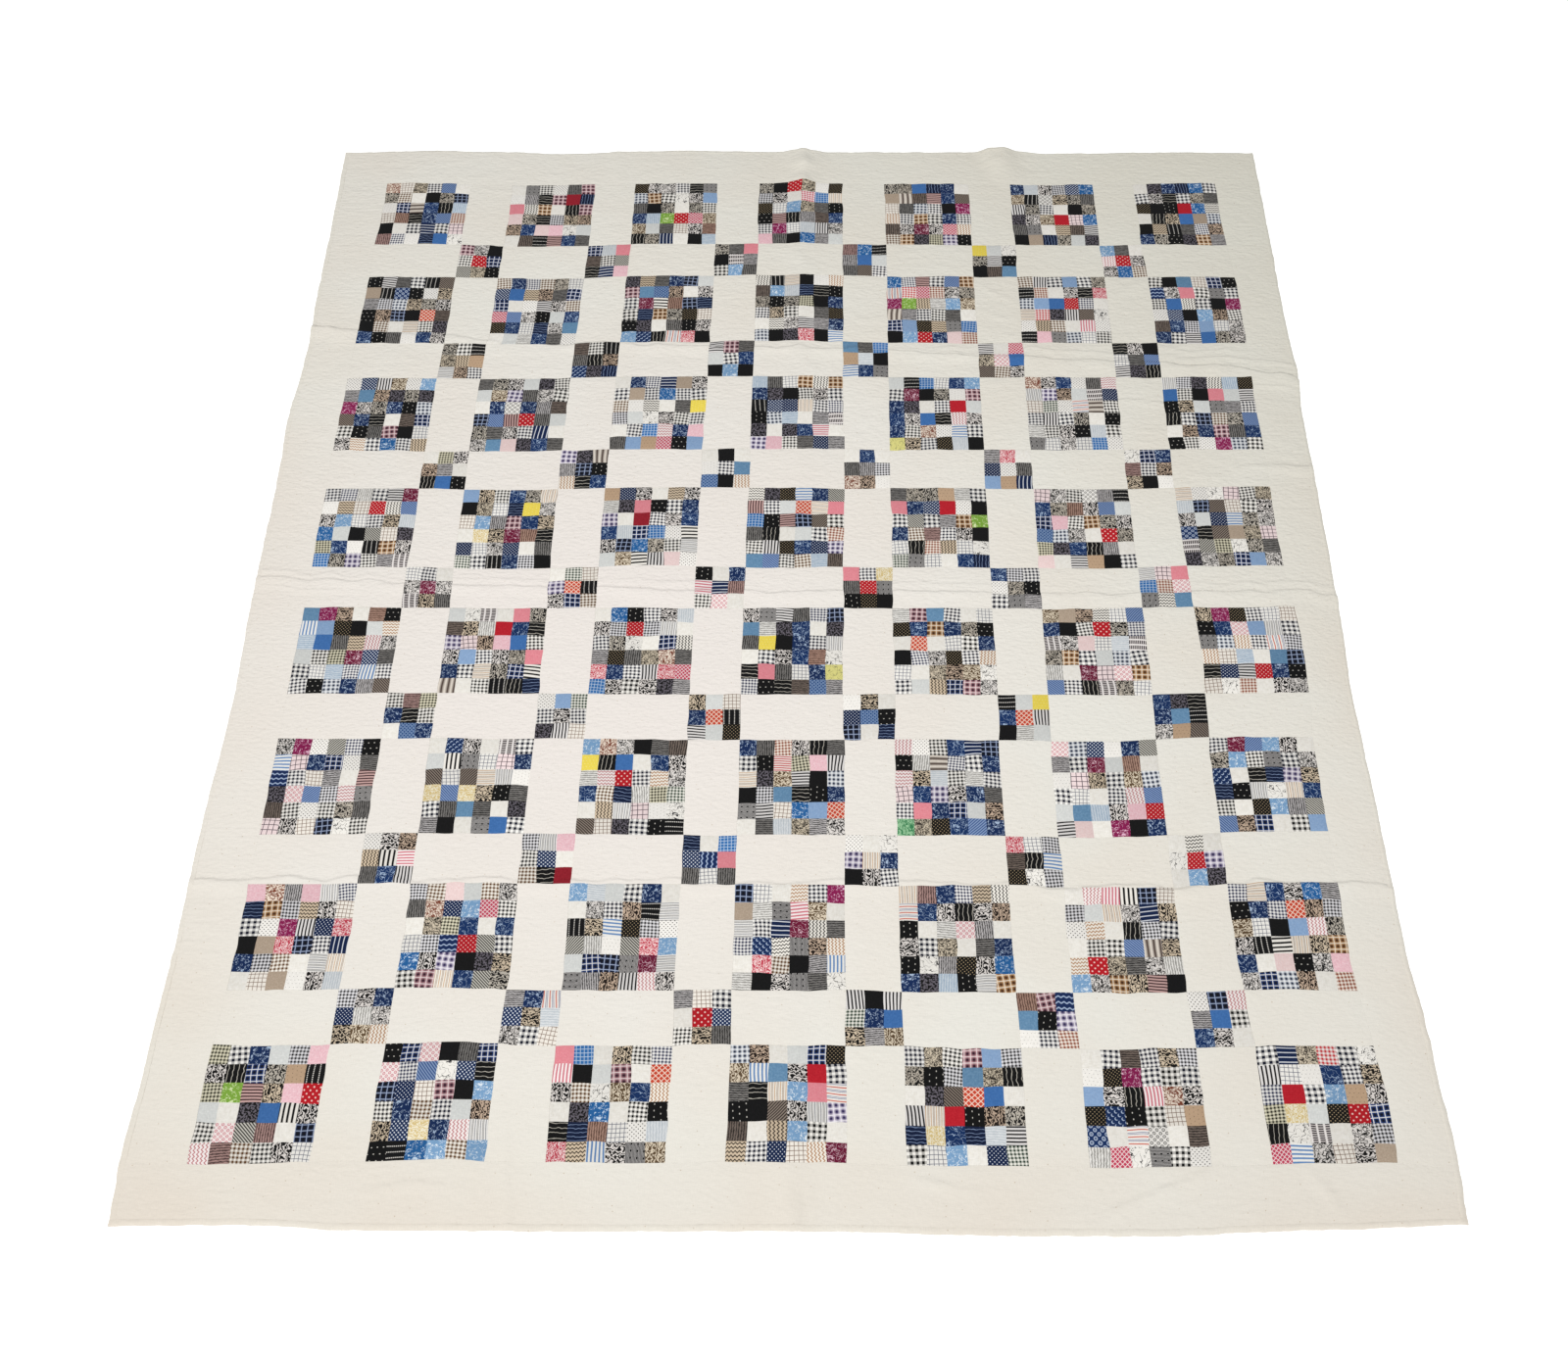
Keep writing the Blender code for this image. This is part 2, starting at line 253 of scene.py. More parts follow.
def foldHeight(fold, u, v):
    # Height of one fold: rounded, and steeper on one side where far and near differ
    nearest = np.full(u.shape, 1e9)
    side = np.zeros(u.shape)
    crest = np.zeros(u.shape)
    for (u1, v1, h1), (u2, v2, h2) in zip(fold["crest"], fold["crest"][1:]):
        du, dv = u2 - u1, v2 - v1
        part = np.clip(((u - u1) * du + (v - v1) * dv) / (du * du + dv * dv), 0, 1)
        offU, offV = u - u1 - part * du, v - v1 - part * dv
        away = np.hypot(offU, offV)
        closer = away < nearest
        nearest = np.where(closer, away, nearest)
        side = np.where(closer, du * offV - dv * offU, side)
        crest = np.where(closer, h1 + (h2 - h1) * part, crest)
    reach = np.where(side > 0, fold["near"], fold["far"])
    return crest * (1 + np.cos(np.pi * np.clip(nearest / reach, 0, 1))) / 2


def foldsAt(chosen, u, v):
    # The crest lines wander a little, as folds in soft cloth do
    wanderU = u + 0.1 * bumps(u / 1.7, v / 1.7, 21)
    wanderV = v + 0.2 * bumps(u / 1.3, v / 3.0, 22) + 0.08 * bumps(u / 0.5, v / 3.0, 23)
    uneven = 1 + 0.3 * bumps(u / 0.9, v / 0.9, 24)
    height = np.zeros(u.shape)
    for fold in chosen:
        us = [point[0] for point in fold["crest"]]
        vs = [point[1] for point in fold["crest"]]
        reach = max(fold["near"], fold["far"]) + 0.3
        close = (u > min(us) - reach) & (u < max(us) + reach)
        close = close & (v > min(vs) - reach) & (v < max(vs) + reach)
        if close.any():
            height[close] += uneven[close] * foldHeight(fold, wanderU[close], wanderV[close])
    return height


def crown(at, seams):
    # 0 at a seam, 1 from one shoulder's width away
    away = np.min([np.abs(at - seam) for seam in seams], axis=0)
    return np.sin(np.pi / 2 * np.minimum(away / quilt["shoulder"], 1))


# Relief of the face in millimetres
relief = dict(
    swell=0.5,  # slow unevenness of the batting
    ripple=0.42,  # level puckers that quilting leaves in the plain cotton
    fine=0.12,  # smaller puckers across them
    patchDome=0.32,
    patchSeam=0.34,
    patchPucker=0.22,
    patchTilt=0.25,
    quilting=0.22,  # diagonal line of stitches through each patch
    seamReach=0.13,  # this and the next in patches
    quiltingReach=0.16,
    bindingRoll=0.35,  # how far the binding rises and falls off again
    bindingPuckers=(0.22, 0.15),  # drawn in by its hand stitches: slow and quick ones
)


def ripples(u, v):
    # Irregular level puckers, strongest towards the top of the quilt
    strength = 0.5 + 0.5 * smooth((48 - v) / 30) + 0.25 * bumps(u / 7, v / 7, 31)
    bend = 0.5 * bumps(u / 0.9, v / 1.3, 32)
    level = bumps(u / 0.42, v / 0.2 + bend, 33) + 0.5 * bumps(u / 0.9, v / 0.45 + bend, 34)
    cross = bumps(u / 0.3, v / 0.8, 35)
    return strength * (relief["ripple"] * level + relief["fine"] * cross)


def panelFace(u, v, panel):
    # Height of plain cotton's face above its underside
    low = np.minimum(crown(u, panel[:2]), crown(v, panel[2:]))
    height = quilt["thickness"] + quilt["panelCrown"] * low
    return height + (0.35 + 0.65 * low) * ripples(u, v)  # a seam holds the puckers down


def patchedFace(u, v, panel):
    # Height of patchwork: each square is a small dome between its seams
    low = np.minimum(crown(u, panel[:2]), crown(v, panel[2:]))
    column, row = np.floor(u), np.floor(v)
    s, t = u - column, v - row
    dome = (np.sin(np.pi * s) * np.sin(np.pi * t)) ** 0.6
    toSeam = np.minimum(np.minimum(s, 1 - s), np.minimum(t, 1 - t))
    seam = np.clip(1 - toSeam / relief["seamReach"], 0, 1)
    diagonal = np.clip(1 - np.abs(s - t) / relief["quiltingReach"], 0, 1)
    tilt = bumps(column * 1.7, row * 2.3, 41) * (s - 0.5)
    tilt = tilt + bumps(column * 2.1, row * 1.3, 42) * (t - 0.5)
    loose = relief["patchTilt"] * tilt + relief["patchPucker"] * bumps(u / 0.35, v / 0.3, 43)
    height = quilt["thickness"] + quilt["panelCrown"] * low + relief["patchDome"] * dome
    height = height - relief["patchSeam"] * seam - relief["quilting"] * diagonal
    return height + (1 - seam) * loose


def boundFace(u, v, panel):
    # Height of the binding: a roll over the quilt's raw edge
    outside = np.maximum(np.maximum(-u, u - wide), np.maximum(-v, v - long))
    part = np.clip((border - outside) / (border - inner), 0, 1)
    along = np.where(np.maximum(-u, u - wide) > np.maximum(-v, v - long), v, u)
    rise = relief["bindingRoll"]
    roll = (quilt["thickness"] + rise) * np.sin(np.pi / 2 * np.minimum(0.3 + 1.1 * part, 1))
    roll = roll - rise * smooth((part - 0.75) / 0.25)
    slow, quick = relief["bindingPuckers"]
    return roll + slow * bumps(along * 3.3, part * 2, 51) + quick * bumps(along * 7, part * 3, 52)


faceOf = dict(muslin=panelFace, patchwork=patchedFace, binding=boundFace)


def faceHeight(kind, u, v, panel):
    face = faceOf[kind](u, v, panel) + foldsAt(creases, u, v)
    if kind != "binding":
        face = face + relief["swell"] * bumps(u / 4.3, v / 3.7, 61)
    return face


print("form ready")


def feed(tree, node, inputs):
    # Sets sockets, given by name or number, to values or links them to other nodes' outputs
    for key, value in inputs.items():
        if isinstance(value, bpy.types.NodeSocket):
            tree.links.new(value, node.inputs[key])
        else:
            node.inputs[key].default_value = value


def addNode(tree, kind, inputs=(), output=0, **settings):
    # Adds a shader node, such as "Mapping", or with its operation, "Math ADD". inputs come
    # in the sockets' order, or by name or number, and the chosen output comes back.
    kind, gap, operation = kind.partition(" ")
    node = tree.nodes.new("ShaderNode" + kind)
    if operation:
        node.operation = operation
    for key, value in settings.items():
        setattr(node, key, value)
    feed(tree, node, inputs if isinstance(inputs, dict) else dict(enumerate(inputs)))
    return node.outputs[output]


# What the patterns are made of. All of it counts in repeats of the print.
def lines(tree, along, width, soft=0.05):
    # Bands centred on whole numbers of a coordinate, as wide as this share of the repeat
    away = addNode(tree, "Math PINGPONG", (along, 0.5))
    return addNode(tree, "MapRange", (away, width / 2 + soft, width / 2 - soft))


def crossedLines(tree, x, y, width):
    # Full where two bands cross, and half where one runs alone
    both = addNode(tree, "Math ADD", (lines(tree, x, width), lines(tree, y, width)))
    return addNode(tree, "Math MULTIPLY", (both, 0.5))


def eitherLines(tree, x, y, width, soft=0.05):
    return addNode(tree, "Math MAXIMUM", (lines(tree, x, width, soft), lines(tree, y, width, soft)))


def spots(tree, at, size, soft=0.05, metric="EUCLIDEAN", randomness=0.0, turned=True):
    # Spots on a square lattice, which is turned by 45 degrees to set them in quincunx
    scale = 2 ** 0.5 if turned else 1.0
    turn = addNode(tree, "Mapping", {0: at, "Rotation": (0, 0, math.pi / 4 if turned else 0)})
    away = addNode(tree, "TexVoronoi", {"Vector": turn, "Scale": scale, "Randomness": randomness},
                   voronoi_dimensions="2D", distance=metric)
    radius = size * scale
    return addNode(tree, "MapRange", (away, radius + soft, radius - soft))


def hollowSpots(tree, at, outer, core, *rest):
    return addNode(tree, "Math SUBTRACT", (spots(tree, at, outer, *rest), spots(tree, at, core, *rest)))


def softNoise(tree, at, scale, detail, cut, distortion=0.0):
    # Blots of soft noise: no ink at the cut's first value, and full ink at its second
    blots = addNode(tree, "TexNoise", {"Vector": at, "Scale": scale, "Detail": detail,
                                       "Distortion": distortion}, noise_dimensions="2D")
    return addNode(tree, "MapRange", (blots, *cut))


def bentLines(tree, at, distortion, detail, cut):
    # Printed lines that wander and break up, one to each repeat: bands that noise bends
    wave = addNode(tree, "TexWave", {"Vector": at, "Scale": 0.314, "Distortion": distortion,
                                     "Detail": detail, "Detail Scale": 2.6, "Detail Roughness": 0.6},
                   output="Fac", wave_type="BANDS", bands_direction="X")
    return addNode(tree, "MapRange", (wave, *cut))


def wanderingLine(tree, at, scale, width):
    # Thin printed lines that close on themselves: where soft noise passes its middle value
    bent = addNode(tree, "TexNoise", {"Vector": at, "Scale": scale, "Detail": 0.5, "Distortion": 0.7},
                   noise_dimensions="2D")
    away = addNode(tree, "Math ABSOLUTE", (addNode(tree, "Math SUBTRACT", (bent, 0.5)),))
    return addNode(tree, "MapRange", (away, width * 1.5, width * 0.6))


# Each pattern gives its ink's share from the print's coordinates, and may give a second
# share for the third dye.
def plainPattern(tree, at, x, y):
    return softNoise(tree, at, 1.0, 2.0, (0.35, 0.75))


def ginghamPattern(tree, at, x, y):
    return crossedLines(tree, x, y, 0.5)


def plaidPattern(tree, at, x, y):
    farX, farY = addNode(tree, "Math ADD", (x, 0.5)), addNode(tree, "Math ADD", (y, 0.5))
    return crossedLines(tree, x, y, 0.42), eitherLines(tree, farX, farY, 0.12)


def windowpanePattern(tree, at, x, y):
    return eitherLines(tree, x, y, 0.13, 0.04)


def stripePattern(tree, at, x, y):
    return lines(tree, x, 0.45)


def pinstripePattern(tree, at, x, y):
    return lines(tree, x, 0.2)


def shirtingStripePattern(tree, at, x, y):
    pair = eitherLines(tree, x, addNode(tree, "Math ADD", (x, 0.2)), 0.08, 0.03)
    return pair, lines(tree, addNode(tree, "Math ADD", (x, 0.6)), 0.16, 0.04)


def dotPattern(tree, at, x, y):
    return spots(tree, at, 0.18)


def pinDotPattern(tree, at, x, y):
    return spots(tree, at, 0.13)


def ringPattern(tree, at, x, y):
    ring = hollowSpots(tree, at, 0.25, 0.15, 0.04)
    return addNode(tree, "Math MAXIMUM", (ring, spots(tree, at, 0.05, 0.02)))


def crescentPattern(tree, at, x, y):
    bite = spots(tree, addNode(tree, "VectorMath ADD", (at, (0.09, 0.06, 0))), 0.2)
    return addNode(tree, "Math SUBTRACT", (spots(tree, at, 0.24), bite))


def dashPattern(tree, at, x, y):
    row = addNode(tree, "Math FLOOR", (addNode(tree, "Math ADD", (y, 0.5)),))
    stepped = addNode(tree, "Math MULTIPLY_ADD", (row, 0.5, x))
    return addNode(tree, "Math MULTIPLY", (lines(tree, stepped, 0.2), lines(tree, y, 0.1)))


def dashRowPattern(tree, at, x, y):
    dashes = lines(tree, addNode(tree, "Math MULTIPLY", (x, 3.0)), 0.6, 0.1)
    return addNode(tree, "Math MULTIPLY", (dashes, lines(tree, y, 0.14)))


def sprigPattern(tree, at, x, y):
    here = softNoise(tree, at, 1.1, 0.0, (0.44, 0.5))
    return addNode(tree, "Math MULTIPLY", (here, wanderingLine(tree, at, 1.5, 0.045)))


def zigzagPattern(tree, at, x, y):
    rise = addNode(tree, "Math PINGPONG", (x, 0.5))
    return lines(tree, addNode(tree, "Math ADD", (y, rise)), 0.36, 0.07)


def wavePattern(tree, at, x, y):
    swing = addNode(tree, "Math SINE", (addNode(tree, "Math MULTIPLY", (x, 2 * math.pi)),))
    return lines(tree, addNode(tree, "Math MULTIPLY_ADD", (swing, 0.12, y)), 0.24)


def latticePattern(tree, at, x, y):
    rising, falling = (addNode(tree, "Math " + sign, (x, y)) for sign in ("ADD", "SUBTRACT"))
    return eitherLines(tree, rising, falling, 0.2)


def twillPattern(tree, at, x, y):
    return lines(tree, addNode(tree, "Math ADD", (x, y)), 0.5, 0.12)


def hatchPattern(tree, at, x, y):
    tone = softNoise(tree, at, 0.6, 1.0, (0.3, 0.7, 0.05, 0.25))
    strokes = bentLines(tree, at, 3.0, 2.0, (0.3, 0.7))
    return addNode(tree, "Math MULTIPLY_ADD", (strokes, 0.7, tone))


def wormPattern(tree, at, x, y):
    return bentLines(tree, at, 11.0, 1.0, (0.42, 0.58))


def wavyPinPattern(tree, at, x, y):
    bend = addNode(tree, "TexNoise", {"Vector": at, "Scale": 0.7, "Detail": 1.0}, noise_dimensions="2D")
    return lines(tree, addNode(tree, "Math MULTIPLY_ADD", (bend, 0.6, x)), 0.11, 0.04)


def scrollPattern(tree, at, x, y):
    return softNoise(tree, at, 0.95, 1.5, (0.46, 0.52), distortion=1.6)


def squigglePattern(tree, at, x, y):
    return wanderingLine(tree, at, 0.9, 0.022)


def leafPattern(tree, at, x, y):
    bend = addNode(tree, "TexNoise", {"Vector": at, "Scale": 1.3, "Detail": 1.0}, output=1,
                   noise_dimensions="2D")
    bent = addNode(tree, "VectorMath MULTIPLY_ADD", (bend, (0.9, 0.9, 0), at))
    rim = hollowSpots(tree, bent, 0.33, 0.2, 0.05, "EUCLIDEAN", 0.9)
    return addNode(tree, "Math MAXIMUM", (rim, wanderingLine(tree, bent, 1.5, 0.035)))


def specklePattern(tree, at, x, y):
    return softNoise(tree, at, 1.6, 1.0, (0.47, 0.54))


def ombrePattern(tree, at, x, y):
    return addNode(tree, "MapRange", (addNode(tree, "Math PINGPONG", (x, 0.5)), 0.05, 0.45))


def barPattern(tree, at, x, y):
    bars = lines(tree, addNode(tree, "Math MULTIPLY", (y, 3.0)), 0.62, 0.1)
    bars = addNode(tree, "Math MULTIPLY", (bars, lines(tree, x, 0.7, 0.03)))
    return bars, lines(tree, addNode(tree, "Math ADD", (x, 0.5)), 0.1, 0.03)


def dotHatchPattern(tree, at, x, y):
    fine = addNode(tree, "VectorMath SCALE", {0: at, "Scale": 5.0})
    return bentLines(tree, fine, 1.5, 1.0, (0.3, 0.7)), spots(tree, at, 0.15, 0.03, turned=False)


def diamondPattern(tree, at, x, y):
    return hollowSpots(tree, at, 0.36, 0.17, 0.04, "MANHATTAN")


# Each cloth: what it is and how its figure was made, then the pattern, and what that gives
# the eye. Woven figures are soft where dyed threads cross, and printed ones are crisper.
cloths = dict(
    plain=("plain-woven dyed cotton", plainPattern),  # one matt colour, barely clouded
    gingham=("yarn-dyed cotton gingham", ginghamPattern),  # checks with a half tone
    plaid=("yarn-dyed cotton plaid", plaidPattern),  # broad bands, thin lines between
    windowpane=("yarn-dyed windowpane cotton", windowpanePattern),  # open squares
    stripe=("roller-printed striped cotton", stripePattern),  # even light and dark
    pinstripe=("roller-printed pinstripe cotton", pinstripePattern),
    shirtingStripe=("striped cotton shirting", shirtingStripePattern),  # two lines, then one
    dots=("discharge-printed dotted cotton", dotPattern),  # bleached out of the dark dye
    pinDots=("discharge-printed pin dot cotton", pinDotPattern),
    rings=("roller-printed ring cotton", ringPattern),
    crescents=("discharge-printed crescent cotton", crescentPattern),
    dashes=("roller-printed dash cotton", dashPattern),  # short ticks, each row half a step on
    dashRows=("roller-printed dash row cotton", dashRowPattern),
    sprigs=("roller-printed sprig cotton", sprigPattern),  # short curved strokes, scattered
    zigzag=("roller-printed zigzag cotton", zigzagPattern),
    waves=("roller-printed wave cotton", wavePattern),
    lattice=("roller-printed lattice cotton", latticePattern),
    twill=("twill-woven cotton", twillPattern),  # a fine diagonal rib
    hatch=("roller-printed hatched cotton", hatchPattern),  # fine broken strokes, here closer
    worms=("roller-printed vermicular cotton", wormPattern),  # close lines of even width
    wavyPins=("discharge-printed wavy pinstripe cotton", wavyPinPattern),
    scrolls=("roller-printed scroll cotton", scrollPattern),
    squiggles=("discharge-printed squiggle cotton", squigglePattern),
    leaves=("roller-printed leaf cotton", leafPattern),  # curled outlines, closely set
    speckle=("roller-printed speckled cotton", specklePattern),
    ombre=("rainbow-printed striped cotton", ombrePattern),  # shades that run together
    bars=("roller-printed bar cotton", barPattern),
    dotHatch=("roller-printed dotted hatch cotton", dotHatchPattern),
    diamonds=("discharge-printed diamond cotton", diamondPattern),
)

# The scrap bag: cloth, ground, ink, repeat in millimetres, how often the fabric turns up, and
# a third dye where there is one. The last few only have places that are listed one by one. The
# finest real repeats, 2 to 4 mm, are drawn somewhat coarser so that they show.
fabrics = dict(
    blackDash=("dashes", "#060607", "#f2eee4", 8.4, 28),
    blackWavyPin=("wavyPins", "#060607", "#c9c4b8", 6.4, 32),
    blackTanPin=("pinDots", "#0c0a08", "#b09b78", 5.2, 16),
    blackSolid=("plain", "#070708", "#0f0e10", 3, 34),
    blackRows=("dashRows", "#09090b", "#f2eee6", 7.5, 12),
    charcoal=("speckle", "#0a090b", "#66616a", 4.4, 26),
    darkHatch=("hatch", "#85827f", "#040405", 3.2, 42),
    brownBlack=("hatch", "#120f0e", "#7d6f66", 3.2, 16),
    taupe=("twill", "#221d19", "#918378", 4.2, 9),
    darkScroll=("worms", "#0e0c0d", "#b9b2a6", 5, 20),
    darkLeaf=("leaves", "#0e0d0c", "#c4bbad", 7.8, 16),
    greyMicro=("gingham", "#ecebee", "#050508", 4.7, 24),
    greyHatch=("hatch", "#c6c2c2", "#070708", 3.1, 32),
    greyTwill=("twill", "#cfccc2", "#0c0c0b", 4.2, 10),
    greyDotHatch=("dotHatch", "#b5b2b0", "#262526", 8.4, 14, "#060607"),
    chevronBlack=("zigzag", "#f3efe6", "#070708", 5, 12),
    leafBlack=("leaves", "#e2ddd8", "#060607", 8.4, 24),
    calicoBlack=("worms", "#dfd9d4", "#050506", 4.9, 48),
    scrollTan=("worms", "#cdbca4", "#0e0a08", 4.9, 16),
    scrollBrown=("leaves", "#cfc2ac", "#1b1410", 7.2, 12),
    greyStripe=("stripe", "#e4e1df", "#121214", 4.8, 24),
    boldStripe=("stripe", "#f4f0e8", "#050507", 6.4, 12),
    blackGingham=("gingham", "#fbf8f1", "#030304", 5.6, 24),
    bigBlackGingham=("gingham", "#fbf8f1", "#030304", 7.6, 12),
    cadet=("plain", "#3a6aa8", "#4474b2", 3, 8),
    sky=("plain", "#86a4ca", "#93afd2", 3, 10),
    dustyBlue=("plain", "#5e86a8", "#7096b6", 3, 7),
    lightBlueSprig=("sprigs", "#7ba2c8", "#e0ebf4", 5.4, 13),
    paleBlue=("hatch", "#9db2c6", "#d3dce4", 3.4, 8),
    denim=("twill", "#35528a", "#8ba3c8", 4.2, 9),
    indigoDot=("dots", "#0c2753", "#dfe6ee", 5.6, 9),
    indigoPin=("pinDots", "#0b2149", "#e2e8f0", 5.4, 12),
    indigoRing=("rings", "#0f2e60", "#bccbe0", 10, 3),
    indigoCrescent=("crescents", "#0e2a58", "#b4c6de", 9, 3),
    indigoSprig=("sprigs", "#0b2754", "#adc1da", 5.4, 31),
    indigoStripe=("pinstripe", "#0a2049", "#e6eaf0", 6.4, 8),
    navyLine=("wavyPins", "#081838", "#8fa4c8", 5.1, 10),
    indigoWave=("waves", "#0f2857", "#a9bcd8", 7.5, 2),
    indigoSquiggle=("squiggles", "#0e2f60", "#a3b9d4", 5.4, 27),
    midBlueScroll=("sprigs", "#22609c", "#c9def2", 5.4, 14),
    blueDiamond=("diamonds", "#1d467e", "#8fa9cd", 5.6, 3),
    blueCross=("windowpane", "#346fae", "#cfdff0", 5, 6),
    paleBlueStripe=("stripe", "#ecebe6", "#6389ba", 5.2, 9),
    navyGingham=("gingham", "#fbf9f4", "#060e26", 7.6, 37),
    smallNavyGingham=("gingham", "#faf8f4", "#070f2a", 5.8, 38),
    tinyBlueCheck=("gingham", "#f6f5f2", "#101c48", 4.6, 18),
    royalPlaid=("plaid", "#22407e", "#04081a", 8, 15, "#f0f0ee"),
    darkPlaid=("plaid", "#182444", "#03050f", 8, 15, "#a9b8d4"),
    greyBluePlaid=("plaid", "#ccd3dd", "#161f38", 6.6, 14, "#f6f5f1"),
    plainWhite=("plain", "#f2efe8", "#e9e5dc", 5, 94),
    paleGrey=("plain", "#d3d5d3", "#dee0dd", 3, 24),
    paleGreyBlue=("hatch", "#bcc4ca", "#dfe2e4", 3.4, 9),
    creamScroll=("worms", "#f0e8cf", "#d9c288", 4, 4),
    shirtingGrid=("windowpane", "#f1efe9", "#3f4663", 5.6, 24),
    brownGrid=("windowpane", "#f0eae0", "#6b4a37", 5.6, 12),
    whiteRing=("rings", "#f3f0ea", "#0c0c10", 8.4, 5),
    pinkRing=("rings", "#f4e9e6", "#c9566b", 8, 4),
    tinySprig=("dashes", "#f5f2ec", "#08090c", 5, 18),
    shirtingDot=("pinDots", "#f5f2ec", "#08090c", 5.6, 20),
    shirtingLine=("squiggles", "#f4f1ea", "#1c1c24", 6, 14),
    whiteHatch=("hatch", "#f5f3ee", "#8d8b86", 3.4, 10),
    tanZigzag=("zigzag", "#f2ece1", "#b07e52", 5, 10),
    pinkZigzag=("zigzag", "#f4ecea", "#c07c7e", 5, 6),
    madras=("shirtingStripe", "#efece6", "#42558a", 9, 7, "#d0604a"),
    tanShirting=("shirtingStripe", "#efeae0", "#8a6440", 7, 8, "#cfab87"),
    greyShirting=("shirtingStripe", "#eceae6", "#2c2d31", 7, 14, "#8d8f94"),
    pink=("plain", "#e9b9c2", "#f2d0d6", 2.5, 8),
    salmon=("plain", "#e08590", "#e6949d", 2.5, 7),
    doublePink=("worms", "#f3cfcf", "#c23f52", 3.8, 7),
    pinkLattice=("lattice", "#c23f5a", "#f6e4e4", 6, 6),
    pinkPane=("windowpane", "#f4e0e0", "#2b1830", 7.5, 10),
    pinkCheck=("gingham", "#f8ecec", "#c94a5e", 5.1, 5),
    pinkStripe=("stripe", "#f8efee", "#d3717f", 4.6, 4),
    palePink=("plain", "#ecd0ce", "#f1dcda", 2.5, 6),
    tan=("plain", "#a99784", "#b8a795", 2, 6),
    brown=("hatch", "#4c3329", "#b39080", 3.2, 8),
    tanScroll=("worms", "#ddcfb8", "#5e4a33", 4.7, 10),
    tanTick=("dashes", "#bfa285", "#160d09", 5.6, 8),
    tanCheck=("gingham", "#f7f1e6", "#5f3c16", 5.2, 15),
    rustGrid=("gingham", "#f4eade", "#8c3f20", 4.8, 7),
    brownZigzag=("zigzag", "#d3c0a6", "#1f1510", 5.1, 10),
    ombre=("ombre", "#e3dace", "#4d3d36", 9, 2),
    brownPlaid=("plaid", "#c29768", "#4a2811", 8.4, 9, "#f2e8d8"),
    brownSpeckle=("worms", "#c2ab96", "#1d120d", 4.7, 14),
    rustFigure=("leaves", "#ecdccb", "#7a3c28", 9, 6),
    mourningPlaid=("plaid", "#b98990", "#361527", 8.4, 13, "#efe0df"),
    mauveStripe=("stripe", "#c9a5a0", "#3c2226", 4.2, 7),
    mauveHatch=("hatch", "#b8958f", "#33201f", 3.2, 6),
    lavenderPlaid=("plaid", "#c9c0d4", "#352c58", 8.4, 9, "#f6f3f4"),
    bars=("bars", "#e6dfdc", "#1a0d18", 9, 10, "#f7f4f1"),
    greenGingham=("gingham", "#f1f0e6", "#0d331f", 4.8, 7),
    oliveCheck=("gingham", "#e4dfc4", "#191909", 4.6, 8),
    redDot=("pinDots", "#b81522", "#f6d4cc", 8.6, 0),
    redPin=("pinDots", "#b41522", "#f3c8c2", 6.4, 0),
    red=("plain", "#b51526", "#c0222f", 2.5, 0),
    darkRed=("plain", "#8f1425", "#9d1f2e", 2.5, 0),
    redStripe=("stripe", "#f4efe9", "#c8303a", 3.6, 0),
    redCheck=("gingham", "#f6f0ec", "#c8262f", 5.1, 0),
    orangeLattice=("lattice", "#c8432b", "#f6dccb", 7.4, 0),
    burgundy=("squiggles", "#6c1234", "#e0bcc8", 5, 0),
    burgundySprig=("sprigs", "#86154e", "#e8b8d0", 5, 0),
    lime=("sprigs", "#7ea83f", "#dcebb2", 6, 0),
    green=("scrolls", "#2f7a4c", "#8fbf94", 6, 0),
    yellow=("dashes", "#efd958", "#fbf6d4", 5, 0),
    dullYellow=("squiggles", "#dfd988", "#8f8d62", 5, 0),
)
